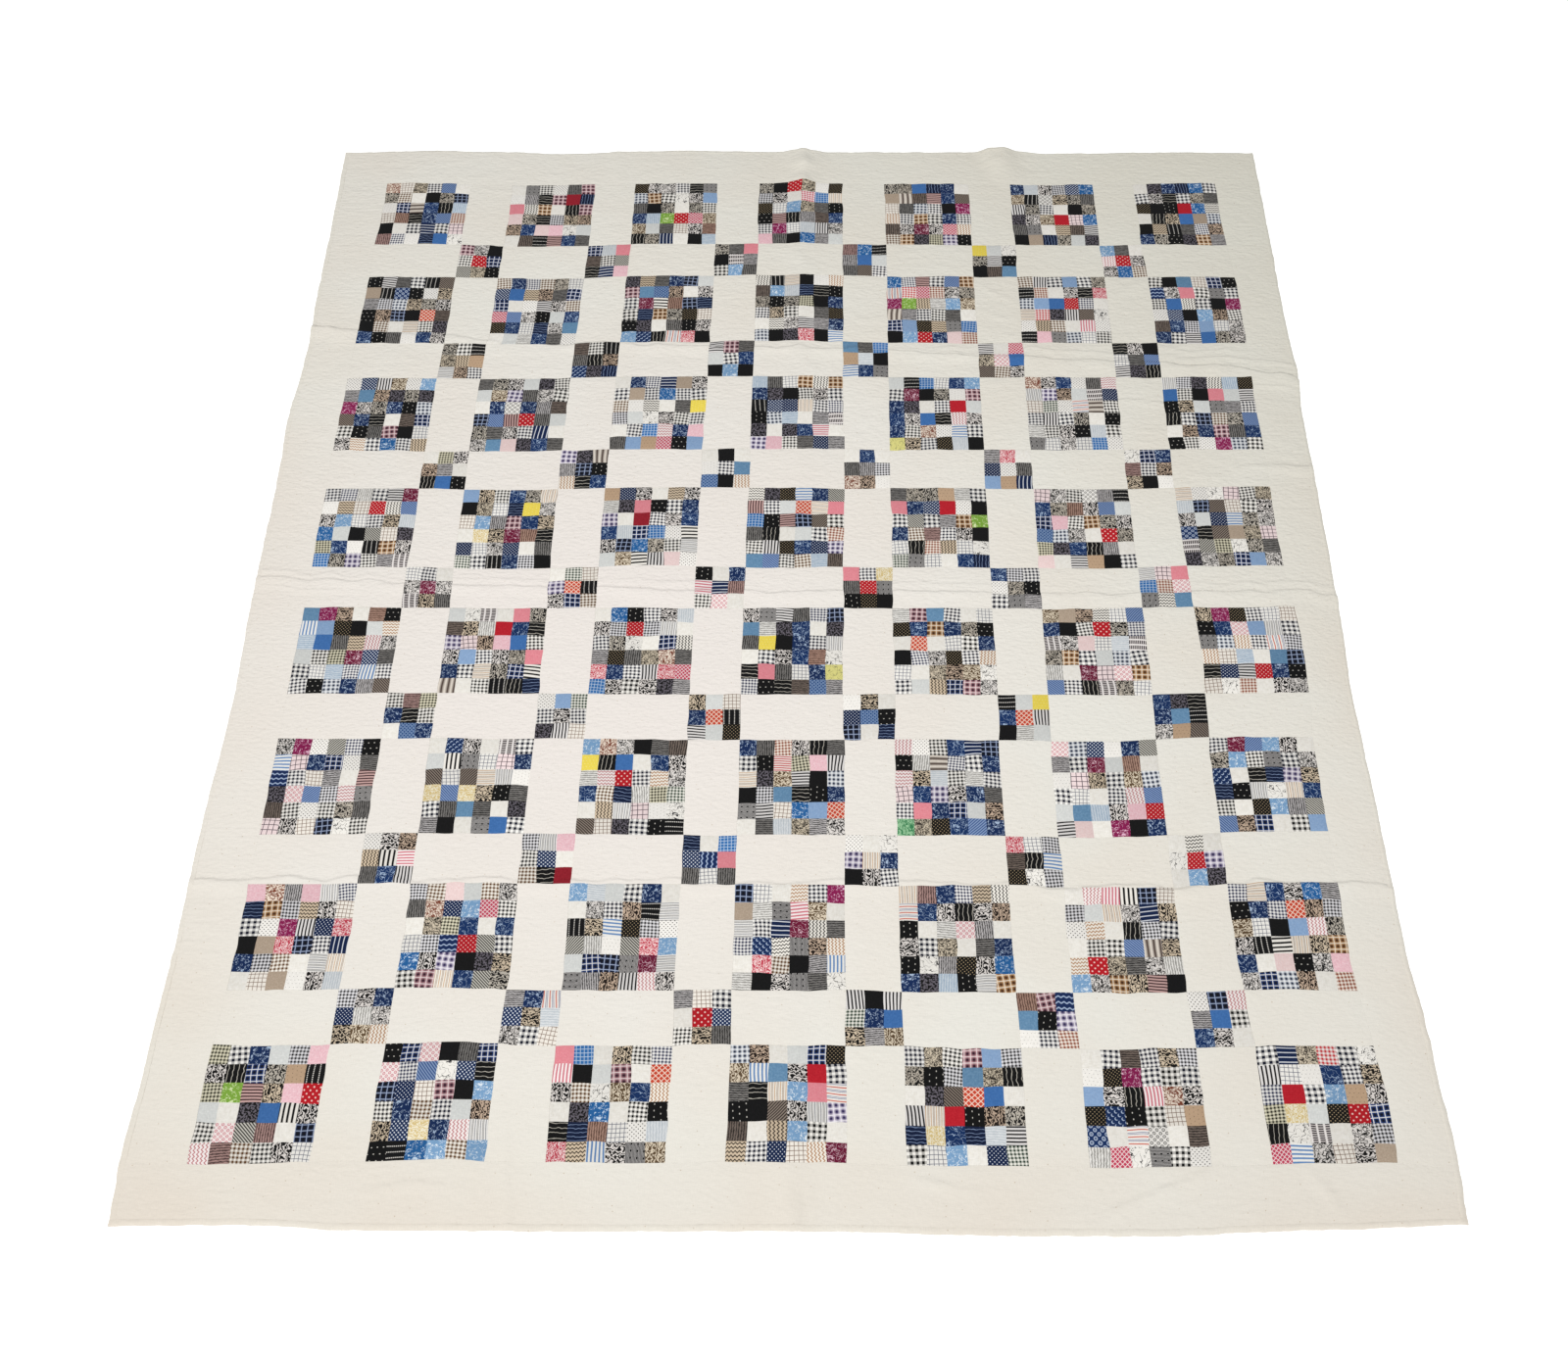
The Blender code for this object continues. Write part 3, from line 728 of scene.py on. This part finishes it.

# The loudest scraps, placed one by one: block column, block row, patch across, patch down, from 1
accents = dict(
    redDot=((3, 1, 4, 4), (4, 1, 3, 1), (5, 2, 3, 6), (2, 3, 4, 4), (6, 4, 5, 4), (6, 5, 4, 2),
            (3, 6, 3, 3), (6, 7, 2, 5), (1, 8, 6, 3), (7, 8, 5, 4)),
    redPin=((6, 2, 4, 3), (1, 4, 4, 2), (3, 5, 3, 2), (7, 5, 4, 5), (2, 7, 4, 4), (6, 6, 6, 5)),
    red=((6, 1, 4, 4), (7, 1, 4, 3), (5, 3, 5, 3), (5, 4, 4, 2), (2, 5, 4, 2), (4, 8, 5, 2),
         (5, 8, 3, 4), (7, 8, 2, 3)),
    darkRed=((2, 1, 5, 2), (3, 4, 3, 3)),
    redStripe=((4, 6, 3, 2),),
    redCheck=((5, 2, 2, 2), (6, 2, 2, 4), (7, 8, 4, 1)),
    orangeLattice=((1, 2, 5, 4), (4, 4, 4, 2), (5, 5, 2, 3), (4, 6, 6, 5), (7, 7, 4, 2),
                   (3, 8, 6, 2), (5, 8, 4, 3)),
    burgundy=((5, 1, 3, 5), (3, 2, 2, 3), (5, 3, 2, 2), (1, 4, 6, 1), (2, 4, 4, 4), (1, 5, 4, 4),
              (6, 5, 3, 5), (7, 6, 2, 1), (6, 6, 3, 2), (3, 7, 5, 5), (4, 7, 4, 3), (4, 8, 6, 6)),
    burgundySprig=((5, 1, 6, 3), (4, 1, 2, 5), (5, 2, 1, 3), (7, 2, 6, 3), (1, 3, 1, 3),
                   (7, 3, 4, 6), (1, 5, 2, 1), (7, 5, 2, 1), (1, 6, 2, 1), (6, 6, 4, 6),
                   (1, 7, 3, 3), (4, 7, 6, 1), (6, 8, 3, 2)),
    lime=((3, 1, 3, 4), (5, 2, 2, 3), (5, 4, 6, 3), (1, 8, 2, 3)),
    green=((5, 6, 1, 6),),
    yellow=((3, 3, 6, 3), (2, 4, 5, 2), (4, 5, 2, 3), (3, 6, 1, 2)),
    dullYellow=((5, 3, 1, 6), (4, 5, 6, 5)),
)
squareAccents = dict(  # the same for the nine-patch squares between the sashes
    redDot=((1, 1, 2, 2), (6, 1, 2, 2), (3, 7, 2, 2)),
    redPin=((4, 4, 2, 2), (6, 6, 2, 2)),
    darkRed=((2, 6, 3, 3),),
    orangeLattice=((2, 4, 2, 2), (3, 5, 2, 2), (5, 5, 2, 2)),
    burgundy=((1, 4, 2, 2),),
    yellow=((5, 1, 1, 1), (5, 5, 3, 1)),
    greenGingham=((2, 4, 2, 1), (2, 5, 3, 1)),
)

# Rows of blocks from the top, and how much thicker or thinner kinds of scraps lie in them
zones = (
    dict(rows=2, dark=1.15, tan=0.85, pale=0.65),
    dict(rows=4, dark=0.9, tan=1, pale=1),
    dict(rows=2, dark=0.45, tan=1.35, pale=0.95),
)
darkScraps = ("charcoal", "darkHatch", "brownBlack", "darkScroll", "darkLeaf", "taupe", "blackWavyPin")
tanScraps = ("tan", "scrollTan", "tanScroll", "tanCheck", "tanTick", "brownPlaid", "brownSpeckle",
             "brownZigzag", "tanZigzag", "tanShirting", "rustGrid")


def sharesIn(zone, names):
    shares = []
    for name in names:
        lean = None
        if name in darkScraps:
            lean = "dark"
        elif name in tanScraps:
            lean = "tan"
        elif fromHex(fabrics[name][1])[1] > 0.5:
            lean = "pale"
        shares.append(fabrics[name][4] * zone.get(lean, 1))
    return np.array(shares) / sum(shares)


scrapCut = dict(
    seed=1148,
    skew=0.05,  # radians between a print and the sides of its square
    shade=(0.76, 0.9),  # how much of a fabric's light wear and dust leave
)


def layScraps():
    # Chooses the fabric of every patch, no two alike side by side, and how it was cut
    draw = np.random.default_rng(scrapCut["seed"])
    names = list(fabrics)
    rowShares = [sharesIn(zone, names) for zone in zones for row in range(zone["rows"])]
    placed = {}
    for table, start in ((accents, 0), (squareAccents, quilt["block"])):
        for name, squares in table.items():
            for column, row, across, down in squares:
                left = (column - 1) * pitch + start + across - 1
                placed[left, (row - 1) * pitch + start + down - 1] = name
    scraps = {}
    for v in range(long):
        for u in range(wide):
            inBlock = u % pitch < quilt["block"] and v % pitch < quilt["block"]
            inSquare = u % pitch >= quilt["block"] and v % pitch >= quilt["block"]
            if not (inBlock or inSquare):
                continue
            around = ((u - 1, v), (u, v - 1), (u - 1, v - 1), (u + 1, v - 1))
            nearby = {scraps[at]["name"] for at in around if at in scraps}
            name = placed.get((u, v))
            while name is None or (name in nearby and (u, v) not in placed):
                name = names[draw.choice(len(names), p=rowShares[v // pitch])]
            scraps[u, v] = dict(
                name=name,
                turn=draw.integers(4) * math.pi / 2 + draw.normal(0, scrapCut["skew"]),
                shift=draw.uniform(0, 8, 2),  # in repeats
                shade=draw.uniform(*scrapCut["shade"]),
            )
    return scraps


scraps = layScraps()
print("scraps laid:", len(scraps))


def threadShade(tree, threads, strength):
    # Slubs of the warp and the weft. Real threads are 0.3 mm apart and don't show from 2 m,
    # so only thicker slubs are drawn, 0.9 mm wide.
    slubs = []
    for stretch in ((0.12, 1.1, 1), (1.1, 0.12, 1)):
        drawn = addNode(tree, "VectorMath MULTIPLY", (threads, stretch))
        slubs.append(addNode(tree, "TexNoise", {"Vector": drawn, "Scale": 1.0, "Detail": 1.0},
                             noise_dimensions="2D"))
    slubs = addNode(tree, "Math ADD", slubs)
    return addNode(tree, "MapRange", (slubs, 0.6, 1.4, 1 - strength, 1 + strength)), slubs


raised = dict(slubs=0.0004, crinkle=0.0012)  # in metres


def clothSurface(material, colour, look, crinkle=None):
    # Cotton: matt, with the slubs just raised and a faint bloom of loose fibre at low angles
    tree = material.node_tree
    threads = addNode(tree, "UVMap", uv_map="threads")
    shade, slubs = threadShade(tree, threads, look["slubs"])
    normal = addNode(tree, "Bump", {"Height": slubs, "Strength": look["weave"],
                                   "Distance": raised["slubs"]})
    if crinkle is not None:
        normal = addNode(tree, "Bump", {"Height": crinkle, "Normal": normal,
                                       "Distance": raised["crinkle"]})
    feed(tree, tree.nodes["Principled BSDF"], {
        "Base Color": addNode(tree, "VectorMath SCALE", {0: colour, "Scale": shade}),
        "Roughness": look["roughness"],
        "IOR": 1.5,
        "Specular IOR Level": 0.2,
        "Sheen Weight": look["sheen"],
        "Sheen Roughness": 0.6,
        "Normal": normal,
    })


def newMaterial(name):
    material = bpy.data.materials.new(name)
    material.use_nodes = True
    return material


printLook = dict(slubs=0.07, weave=0.25, roughness=0.88, sheen=0.02)


def printedCotton(name, pattern):
    # Dress and shirt cotton, dyed and printed: matt, with ground, ink and third dye of its scrap
    material = newMaterial(name)
    tree = material.node_tree
    at = addNode(tree, "UVMap", uv_map="print")
    split = addNode(tree, "SeparateXYZ", (at,))
    found = pattern(tree, at, split, split.node.outputs[1])
    shares = found if isinstance(found, tuple) else (found,)
    colour = addNode(tree, "Attribute", attribute_name="ground")
    for share, part in zip(shares, ("ink", "dye")):
        dye = addNode(tree, "Attribute", attribute_name=part)
        colour = addNode(tree, "Mix", {0: share, 6: colour, 7: dye}, output=2, data_type="RGBA")
    clothSurface(material, colour, printLook)
    return material


# Where each tint of the muslin sets in and is full, in mm from the top left corner of the
# pieced centre, right and up, and then its share at either place
muslinLook = dict(
    fresh="#dedcd4",
    aged="#dad0c3",
    agedLeft=(60, -50, 0, 0.25),
    agedRight=(1520, 1640, 0, 0.3),
    agedDown=(0, -900, 0, 1),  # how much of both shows from the top downwards
    agedFoot=(-1700, -1860, 0, 0.45),
    agedClouds=(0.3, 0.7, 0, 0.35),
    cloud=210,  # mm across the aged patches
    # painted shade: the darker grey that the upper right of the muslin is drawn in
    upperRightShade="#cfcdbf",
    # where the painted shade sets in and is full, along across plus down, and its share
    upperRightShadeReach=(300, 1600, 0, 0.6),
    white="#e1dbd6",
    whiteCentre=(450, -1000, 0),
    whiteFade=(750, 200, 0, 0.9),
    fleck="#a98f6d",
    fleckPitch=21,
    fleckEdge=(0.05, 0.02),  # in shares of the pitch
    fleckShare=(0.55, 0.95, 0, 0.55),  # over half of the places have none
    crinkle=(0.1, 0.22, 0),  # ripples to a millimetre, along them and across
    crinkleShare=(-900, -1700, 1, 0.45),  # the lower part has been pressed flatter
    slubs=0.03,
    weave=0.3,
    roughness=0.92,
    sheen=0.05,
)


def muslinCotton(name, look):
    # Unbleached plain-woven cotton: warm off-white, aged in soft clouds, with seed flecks
    material = newMaterial(name)
    tree = material.node_tree
    threads = addNode(tree, "UVMap", uv_map="threads")
    across = addNode(tree, "SeparateXYZ", (threads,))
    down = across.node.outputs[1]
    clouds = addNode(tree, "TexNoise", {"Vector": threads, "Scale": 1 / look["cloud"], "Detail": 2.0},
                     noise_dimensions="2D")
    # The border is handled most and has yellowed most, above all along the foot
    left, right, lower, foot, cloudy = (
        addNode(tree, "MapRange", (along, *look[tint])) for along, tint in (
            (across, "agedLeft"), (across, "agedRight"), (down, "agedDown"), (down, "agedFoot"),
            (clouds, "agedClouds")))
    sides = addNode(tree, "Math MAXIMUM", (left, right))
    rim = addNode(tree, "Math MULTIPLY_ADD", (sides, lower, foot))
    aged = addNode(tree, "Math ADD", (rim, cloudy))
    # The upper right is drawn a little darker and greyer as painted shade, where less light falls, and
    # left of the middle it has stayed whiter
    diagonal = addNode(tree, "Math ADD", (across, down))
    upperRightShade = addNode(tree, "MapRange", (diagonal, *look["upperRightShadeReach"]))
    away = addNode(tree, "VectorMath DISTANCE", (threads, look["whiteCentre"]), output=1)
    white = addNode(tree, "MapRange", (away, *look["whiteFade"]))
    # Flecks of seed husk, some faint, drawn 1.5 mm across so that they show
    away = addNode(tree, "TexVoronoi", {"Vector": threads, "Scale": 1 / look["fleckPitch"],
                                        "Randomness": 1.0}, voronoi_dimensions="2D")
    picked = addNode(tree, "SeparateXYZ", (away.node.outputs["Color"],))
    near = addNode(tree, "MapRange", (away, *look["fleckEdge"]))
    strong = addNode(tree, "MapRange", (picked, *look["fleckShare"]))
    fleck = addNode(tree, "Math MULTIPLY", (near, strong))
    colour = fromHex(look["fresh"])
    # Over the fresh colour: the aged tint, the painted shade, the whiter zone and the flecks
    for share, tint in ((aged, "aged"), (upperRightShade, "upperRightShade"), (white, "white"), (fleck, "fleck")):
        colour = addNode(tree, "Mix", {0: share, 6: colour, 7: fromHex(look[tint])}, output=2,
                         data_type="RGBA")
    # Crinkle between the quilting stitches: short level ripples, 5 mm apart
    drawn = addNode(tree, "VectorMath MULTIPLY", (threads, look["crinkle"]))
    crinkle = addNode(tree, "TexNoise", {"Vector": drawn, "Scale": 1.0, "Detail": 1.5},
                      noise_dimensions="2D")
    worn = addNode(tree, "MapRange", (down, *look["crinkleShare"]))
    clothSurface(material, colour, look, addNode(tree, "Math MULTIPLY", (crinkle, worn)))
    return material


muslin = muslinCotton("unbleached plain-woven muslin", muslinLook)
boundEdge = muslinCotton("straight-grain muslin binding", dict(muslinLook, fresh="#dddbd2", slubs=0.04))
clothMaterials = {key: printedCotton(*cloths[key]) for key in cloths}
print("materials:", len(bpy.data.materials))


def tileCorners(count, width, height, area):
    # Packs equal tiles into an area (x, y, width, height) of the bake map
    x, y, w, h = area

    def scaleWith(columns):
        return min(w / (columns * width), h / (math.ceil(count / columns) * height))

    columns = max(range(1, count + 1), key=scaleWith)
    scale = scaleWith(columns)
    across, down = width * scale, height * scale
    return [(x + k % columns * across, y + k // columns * down) for k in range(count)], scale


bakeMap = dict(  # areas of the map, then the room round a tile and the wall's width, in patches
    faces=(0.0, 0.0, 1.0, 0.8),
    backs=(0.0, 0.8, 1.0, 0.2),
    faceMargin=0.12,
    backMargin=0.5,
    wall=0.35,
)


def cellCorners(grid):
    # The four corners of each cell of a grid, row by row
    return np.stack([grid[:-1, :-1], grid[1:, :-1], grid[1:, 1:], grid[:-1, 1:]], -1).reshape(-1, 4)


def addPanels(name, kind, panels, steps, tiles=1):
    # One mesh of closed panels, each (u1, u2, v1, v2). steps are the face's grid steps for
    # each patch, across and down; the underside has two steps. A long panel is cut into
    # tiles on the bake map.
    half = quilt["gap"] / 2 / patch
    u1, u2, v1, v2 = panels[0]
    spanU, spanV = u2 - u1, v2 - v1
    level = spanU >= spanV  # long panels are tiled along their length
    tilesU, tilesV = (tiles, 1) if level else (1, tiles)
    coarseU = tilesU * max(1, round(spanU * 2 / tilesU))
    coarseV = tilesV * max(1, round(spanV * 2 / tilesV))
    stepU = max(1, round(spanU * steps[0] / coarseU))
    stepV = max(1, round(spanV * steps[1] / coarseV))
    nu, nv = coarseU * stepU, coarseV * stepV
    faceWide, faceHigh = spanU / tilesU, spanV / tilesV
    count = tiles * len(panels)
    margin, backMargin = bakeMap["faceMargin"], bakeMap["backMargin"]
    faceSize, backSize = (
        (faceWide + 2 * room, faceHigh + 2 * room) for room in (margin, backMargin))
    faceTiles, faceScale = tileCorners(count, *faceSize, bakeMap["faces"])
    backTiles, backScale = tileCorners(count, *backSize, bakeMap["backs"])

    verts, faces, threadMap, bake, patchOf = [], [], [], [], []
    base = 0
    for number, (u1, u2, v1, v2) in enumerate(panels):
        lineU, lineV = np.linspace(u1, u2, nu + 1), np.linspace(v1, v2, nv + 1)
        lineU[0], lineU[-1] = u1 + half, u2 - half
        lineV[0], lineV[-1] = v1 + half, v2 - half
        u, v = np.meshgrid(lineU, lineV)
        x, y = place(u, v)
        lifted = foldsAt(folds.values(), u, v)
        face = lifted + faceHeight(kind, u, v, (u1, u2, v1, v2))
        verts.append(np.stack([x, y, face / 1000], -1).reshape(-1, 3))
        top = base + np.arange((nu + 1) * (nv + 1)).reshape(nv + 1, nu + 1)
        i, j = np.meshgrid(np.arange(nu + 1), np.arange(nv + 1))
        rim = (i == 0) | (i == nu) | (j == 0) | (j == nv)
        kept = rim | ((i % stepU == 0) & (j % stepV == 0))
        under = np.full(kept.shape, -1)
        under[kept] = base + top.size + np.arange(kept.sum())
        verts.append(np.stack([x[kept], y[kept], lifted[kept] / 1000], -1))
        base += top.size + int(kept.sum())

        def tileOf(i, j):
            return number * tiles + (i * tilesU // nu if level else j * tilesV // nv)

        def onMap(corners, scale, edge, tile, pointU, pointV):
            k = tile % tiles
            startU = u1 + (faceWide * k if level else 0)
            startV = v1 + (0 if level else faceHigh * k)
            cornersX, cornersY = np.array(corners).T
            return np.stack([cornersX[tile] + (pointU - startU + edge) * scale,
                             cornersY[tile] + (pointV - startV + edge) * scale], -1)

        # The face: quads in rows
        quadU, quadV = cellCorners(u), cellCorners(v)
        cellI, cellJ = (part.reshape(-1) for part in np.meshgrid(np.arange(nu), np.arange(nv)))
        faces += cellCorners(top).tolist()
        tile = tileOf(cellI, cellJ)[:, None] + np.zeros(4, int)
        bake.append(onMap(faceTiles, faceScale, margin, tile, quadU, quadV).reshape(-1, 2))
        threadMap.append(np.stack([quadU, -quadV], -1).reshape(-1, 2))
        patchOf.append(np.stack([np.floor(quadU.mean(1)), np.floor(quadV.mean(1))], -1))

        # The walls, clockwise from above
        ring = [(0, k) for k in range(nu)] + [(k, nu) for k in range(nv)]
        ring += [(nv, nu - k) for k in range(nu)] + [(nv - k, 0) for k in range(nv)]
        out = bakeMap["wall"]
        outward = [(0, -out)] * nu + [(out, 0)] * nv + [(0, out)] * nu + [(-out, 0)] * nv
        sideFaces, sideMap = [], []
        for (a, b), (du, dv) in zip(zip(ring, ring[1:] + ring[:1]), outward):
            sideFaces.append([top[a], top[b], under[b], under[a]])
            cell = min(a[1], b[1], nu - 1), min(a[0], b[0], nv - 1)
            points = [(u[a] + du, v[a] + dv), (u[b] + du, v[b] + dv), (u[b], v[b]), (u[a], v[a])]
            sideMap.append((tileOf(*cell), points))
        # The underside: coarse cells that take in every point along the rim
        for row in range(coarseV):
            for column in range(coarseU):
                i1, i2 = column * stepU, (column + 1) * stepU
                j1, j2 = row * stepV, (row + 1) * stepV
                path = [(j1, k) for k in (range(i1, i2) if row == 0 else [i1])]
                path += [(k, i2) for k in (range(j1, j2) if column == coarseU - 1 else [j1])]
                path += [(j2, k) for k in (range(i2, i1, -1) if row == coarseV - 1 else [i2])]
                path += [(k, i1) for k in (range(j2, j1, -1) if column == 0 else [j2])]
                sideFaces.append([under[p] for p in path])
                sideMap.append((tileOf(i1, j1), [(u[p], v[p]) for p in path]))
        faces += [[int(k) for k in face] for face in sideFaces]
        points = np.array([point for tile, points in sideMap for point in points])
        tile = np.array([tile for tile, points in sideMap for point in points])
        bake.append(onMap(backTiles, backScale, backMargin, tile, points[:, 0], points[:, 1]))
        threadMap.append(points * (1, -1))
        patchOf.append(np.full((len(sideFaces), 2), -9))

    mesh = bpy.data.meshes.new(name)
    mesh.from_pydata(np.concatenate(verts).tolist(), [], faces)
    threadMap, bake, patchOf = (np.concatenate(part) for part in (threadMap, bake, patchOf))
    layer = mesh.uv_layers.new(name="threads")  # in millimetres
    layer.data.foreach_set("uv", (threadMap * patch * 1000).astype(np.float32).ravel())
    if kind == "patchwork":
        cutScraps(mesh, threadMap, patchOf)
    else:
        mesh.materials.append(boundEdge if kind == "binding" else muslin)
    layer = mesh.uv_layers.new(name="OFBake")
    layer.data.foreach_set("uv", bake.astype(np.float32).ravel())
    shadeFace(mesh, patchOf[:, 0] > -9)
    piece = bpy.data.objects.new(name, mesh)
    bpy.context.scene.collection.objects.link(piece)
    return piece


def shadeFace(mesh, isFace):
    # The face is shaded smooth up to a crisp edge, and walls and underside are flat
    mesh.polygons.foreach_set("use_smooth", isFace)
    mesh.update(calc_edges=True)
    totals = np.empty(len(isFace), int)
    mesh.polygons.foreach_get("loop_total", totals)
    edgeOf = np.empty(len(mesh.loops), int)
    mesh.loops.foreach_get("edge_index", edgeOf)
    crisp = np.zeros(len(mesh.edges), bool)
    crisp[edgeOf[np.repeat(~isFace, totals)]] = True
    mesh.edges.foreach_set("use_edge_sharp", crisp)


def cutScraps(mesh, points, patchOf):
    # Gives every patch its fabric: material, dyes and the print's coordinates. The backing
    # and the cut edges are muslin.
    totals = np.array([face.loop_total for face in mesh.polygons])
    starts = np.cumsum(totals) - totals
    slots = {"backing": 0}
    mesh.materials.append(muslin)
    slotOf = np.zeros(len(totals), int)
    dyes = {key: np.ones((len(totals), 4)) for key in ("ground", "ink", "dye")}
    printMap = np.array(points)
    order = np.where(patchOf[:, 0] > -9)[0]
    keys = [tuple(key) for key in patchOf[order].astype(int)]
    groups = {}
    for face, key in zip(order, keys):
        groups.setdefault(key, []).append(face)
    for key, members in groups.items():
        scrap = scraps[key]
        cloth, ground, ink, repeat, share, *third = fabrics[scrap["name"]]
        if cloth not in slots:
            slots[cloth] = len(slots)
            mesh.materials.append(clothMaterials[cloth])
        slotOf[members] = slots[cloth]
        for part, colour in zip(dyes, (ground, ink, *third, ground)):  # no third dye: the ground
            dyes[part][members, :3] = np.array(fromHex(colour)[:3]) * scrap["shade"]
        loops = (starts[members][:, None] + np.arange(4)).ravel()
        local = (points[loops] - (key[0] + 0.5, -key[1] - 0.5)) * patch * 1000 / repeat
        c, s = math.cos(scrap["turn"]), math.sin(scrap["turn"])
        printMap[loops] = local @ np.array([[c, s], [-s, c]]) + scrap["shift"]
    mesh.polygons.foreach_set("material_index", slotOf)
    layer = mesh.uv_layers.new(name="print")
    layer.data.foreach_set("uv", printMap.astype(np.float32).ravel())
    for part, values in dyes.items():
        attribute = mesh.attributes.new(part, "FLOAT_COLOR", "FACE")
        attribute.data.foreach_set("color", values.astype(np.float32).ravel())


def finishPiece(piece, node):
    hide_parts(node)
    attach(piece, "root")


fineness = dict(patchwork=(8, 8), muslin=(4, 16), binding=(6, 20))  # steps a patch
block, sash = quilt["block"], quilt["sash"]
blockStarts = [column * pitch for column in range(quilt["columns"])]
sashStarts = [start + block for start in blockStarts[:-1]]


def sewRow(name, node, row, kind, starts, top, width, height):
    # A row of equal panels.
    panels = [(u, u + width, top, top + height) for u in starts]
    piece = addPanels(f"{name}_{row + 1}", kind, panels, fineness[kind])
    finishPiece(piece, f"{node}_{row + 1}")


for row in range(quilt["rows"]):
    top = row * pitch
    sewRow("blocks_row", "block_row", row, "patchwork", blockStarts, top, block, block)
    sewRow("upright_sashes_row", "block_row", row, "muslin", sashStarts, top, sash, block)
for row in range(quilt["rows"] - 1):
    top = row * pitch + block
    sewRow("corner_squares_row", "sash_row", row, "patchwork", sashStarts, top, sash, sash)
    sewRow("level_sashes_row", "sash_row", row, "muslin", blockStarts, top, block, sash)
print("pieced centre sewn")

borders = dict(
    top=(-inner, wide + inner, -inner, 0),
    bottom=(-inner, wide + inner, long, long + inner),
    left=(-inner, 0, 0, long),
    right=(wide, wide + inner, 0, long),
)
bindings = dict(
    top=(-border, wide + border, -border, -inner),
    bottom=(-border, wide + border, long + inner, long + border),
    left=(-border, -inner, -inner, long + inner),
    right=(wide + inner, wide + border, -inner, long + inner),
)
for side, panel in borders.items():
    piece = addPanels(f"muslin_border_{side}", "muslin", [panel], fineness["muslin"], tiles=4)
    finishPiece(piece, f"border_{side}")
for side, panel in bindings.items():
    steps = fineness["binding"] if side in ("top", "bottom") else fineness["binding"][::-1]
    piece = addPanels(f"bound_edge_{side}", "binding", [panel], steps, tiles=16)
    # The strip lies flat on the face and turns down over the edge
    stripWidth, stripLength = sorted((panel[1] - panel[0], panel[3] - panel[2]))
    stripWidth = stripWidth + quilt["thickness"] * millimetre
    finishPiece(piece, f"binding_{side}")
print("border and binding sewn")

# Studio: white floor, even white surroundings, a softbox overhead and one from the near left
studio = dict(
    camera=(0.0558, -1.3042, 2.0213),
    turn=(29.41, 0.33, 0.29),
    lens=35.455,
    shift=(-0.0233, -0.0003),
    floor="#fcfcfc",
    floorReach=30.0,
    floorGlow=0.3,  # the floor is an opal panel that is lit a little from below
    world=0.5,
    warmth=(1.0, 0.99, 0.975),
    overhead=dict(at=(-0.25, -0.35, 2.3), aim=(-0.25, -0.35, 0.0), size=1.2, watts=19),
    key=dict(at=(-3.0, -9.5, 9.8), aim=(0.0, 0.0, 0.0), size=1.5, watts=830),
)


def addLight(name, at, aim, size, watts):
    data = bpy.data.lights.new(name, "AREA")
    data.shape = "DISK"
    data.size = size
    data.energy = watts
    data.color = studio["warmth"]
    lamp = bpy.data.objects.new(name, data)
    lamp.location = at
    lamp.rotation_euler = (Vector(aim) - Vector(at)).to_track_quat("-Z", "Y").to_euler()
    bpy.context.scene.collection.objects.link(lamp)


far = studio["floorReach"]
floorMesh = bpy.data.meshes.new("studio floor")
corners = [(-far, -far, 0), (far, -far, 0), (far, far, 0), (-far, far, 0)]
floorMesh.from_pydata(corners, [], [(0, 1, 2, 3)])
# Extruded acrylic with a frosted face: an even pale white without reflections
floorPanel = newMaterial("matt opal acrylic floor")
feed(floorPanel.node_tree, floorPanel.node_tree.nodes["Principled BSDF"], {
    "Base Color": fromHex(studio["floor"]),
    "Roughness": 0.9,
    "Emission Color": (1, 1, 1, 1),
    "Emission Strength": studio["floorGlow"],
})
floorMesh.materials.append(floorPanel)
floor = bpy.data.objects.new("studio_floor", floorMesh)
floor.location.z = -0.0004  # clear of the quilt's underside
bpy.context.scene.collection.objects.link(floor)

world = bpy.data.worlds.new("studio surroundings")
world.use_nodes = True
feed(world.node_tree, world.node_tree.nodes["Background"],
     {"Color": (1, 1, 1, 1), "Strength": studio["world"]})
bpy.context.scene.world = world
bpy.context.scene.view_settings.view_transform = "Standard"
addLight("overhead softbox", **studio["overhead"])
addLight("key softbox", **studio["key"])

cameraData = bpy.data.cameras.new("camera")
cameraData.sensor_width = 36
cameraData.lens = studio["lens"]
cameraData.shift_x, cameraData.shift_y = studio["shift"]
camera = bpy.data.objects.new("camera", cameraData)
camera.location = studio["camera"]
camera.rotation_euler = [math.radians(angle) for angle in studio["turn"]]
bpy.context.scene.collection.objects.link(camera)
bpy.context.scene.camera = camera
print("studio ready")

triangles = sum(sum(face.loop_total - 2 for face in piece.data.polygons)
                for piece in bpy.data.objects if piece.type == "MESH" and not piece.hide_render)
print("triangles shown:", triangles)
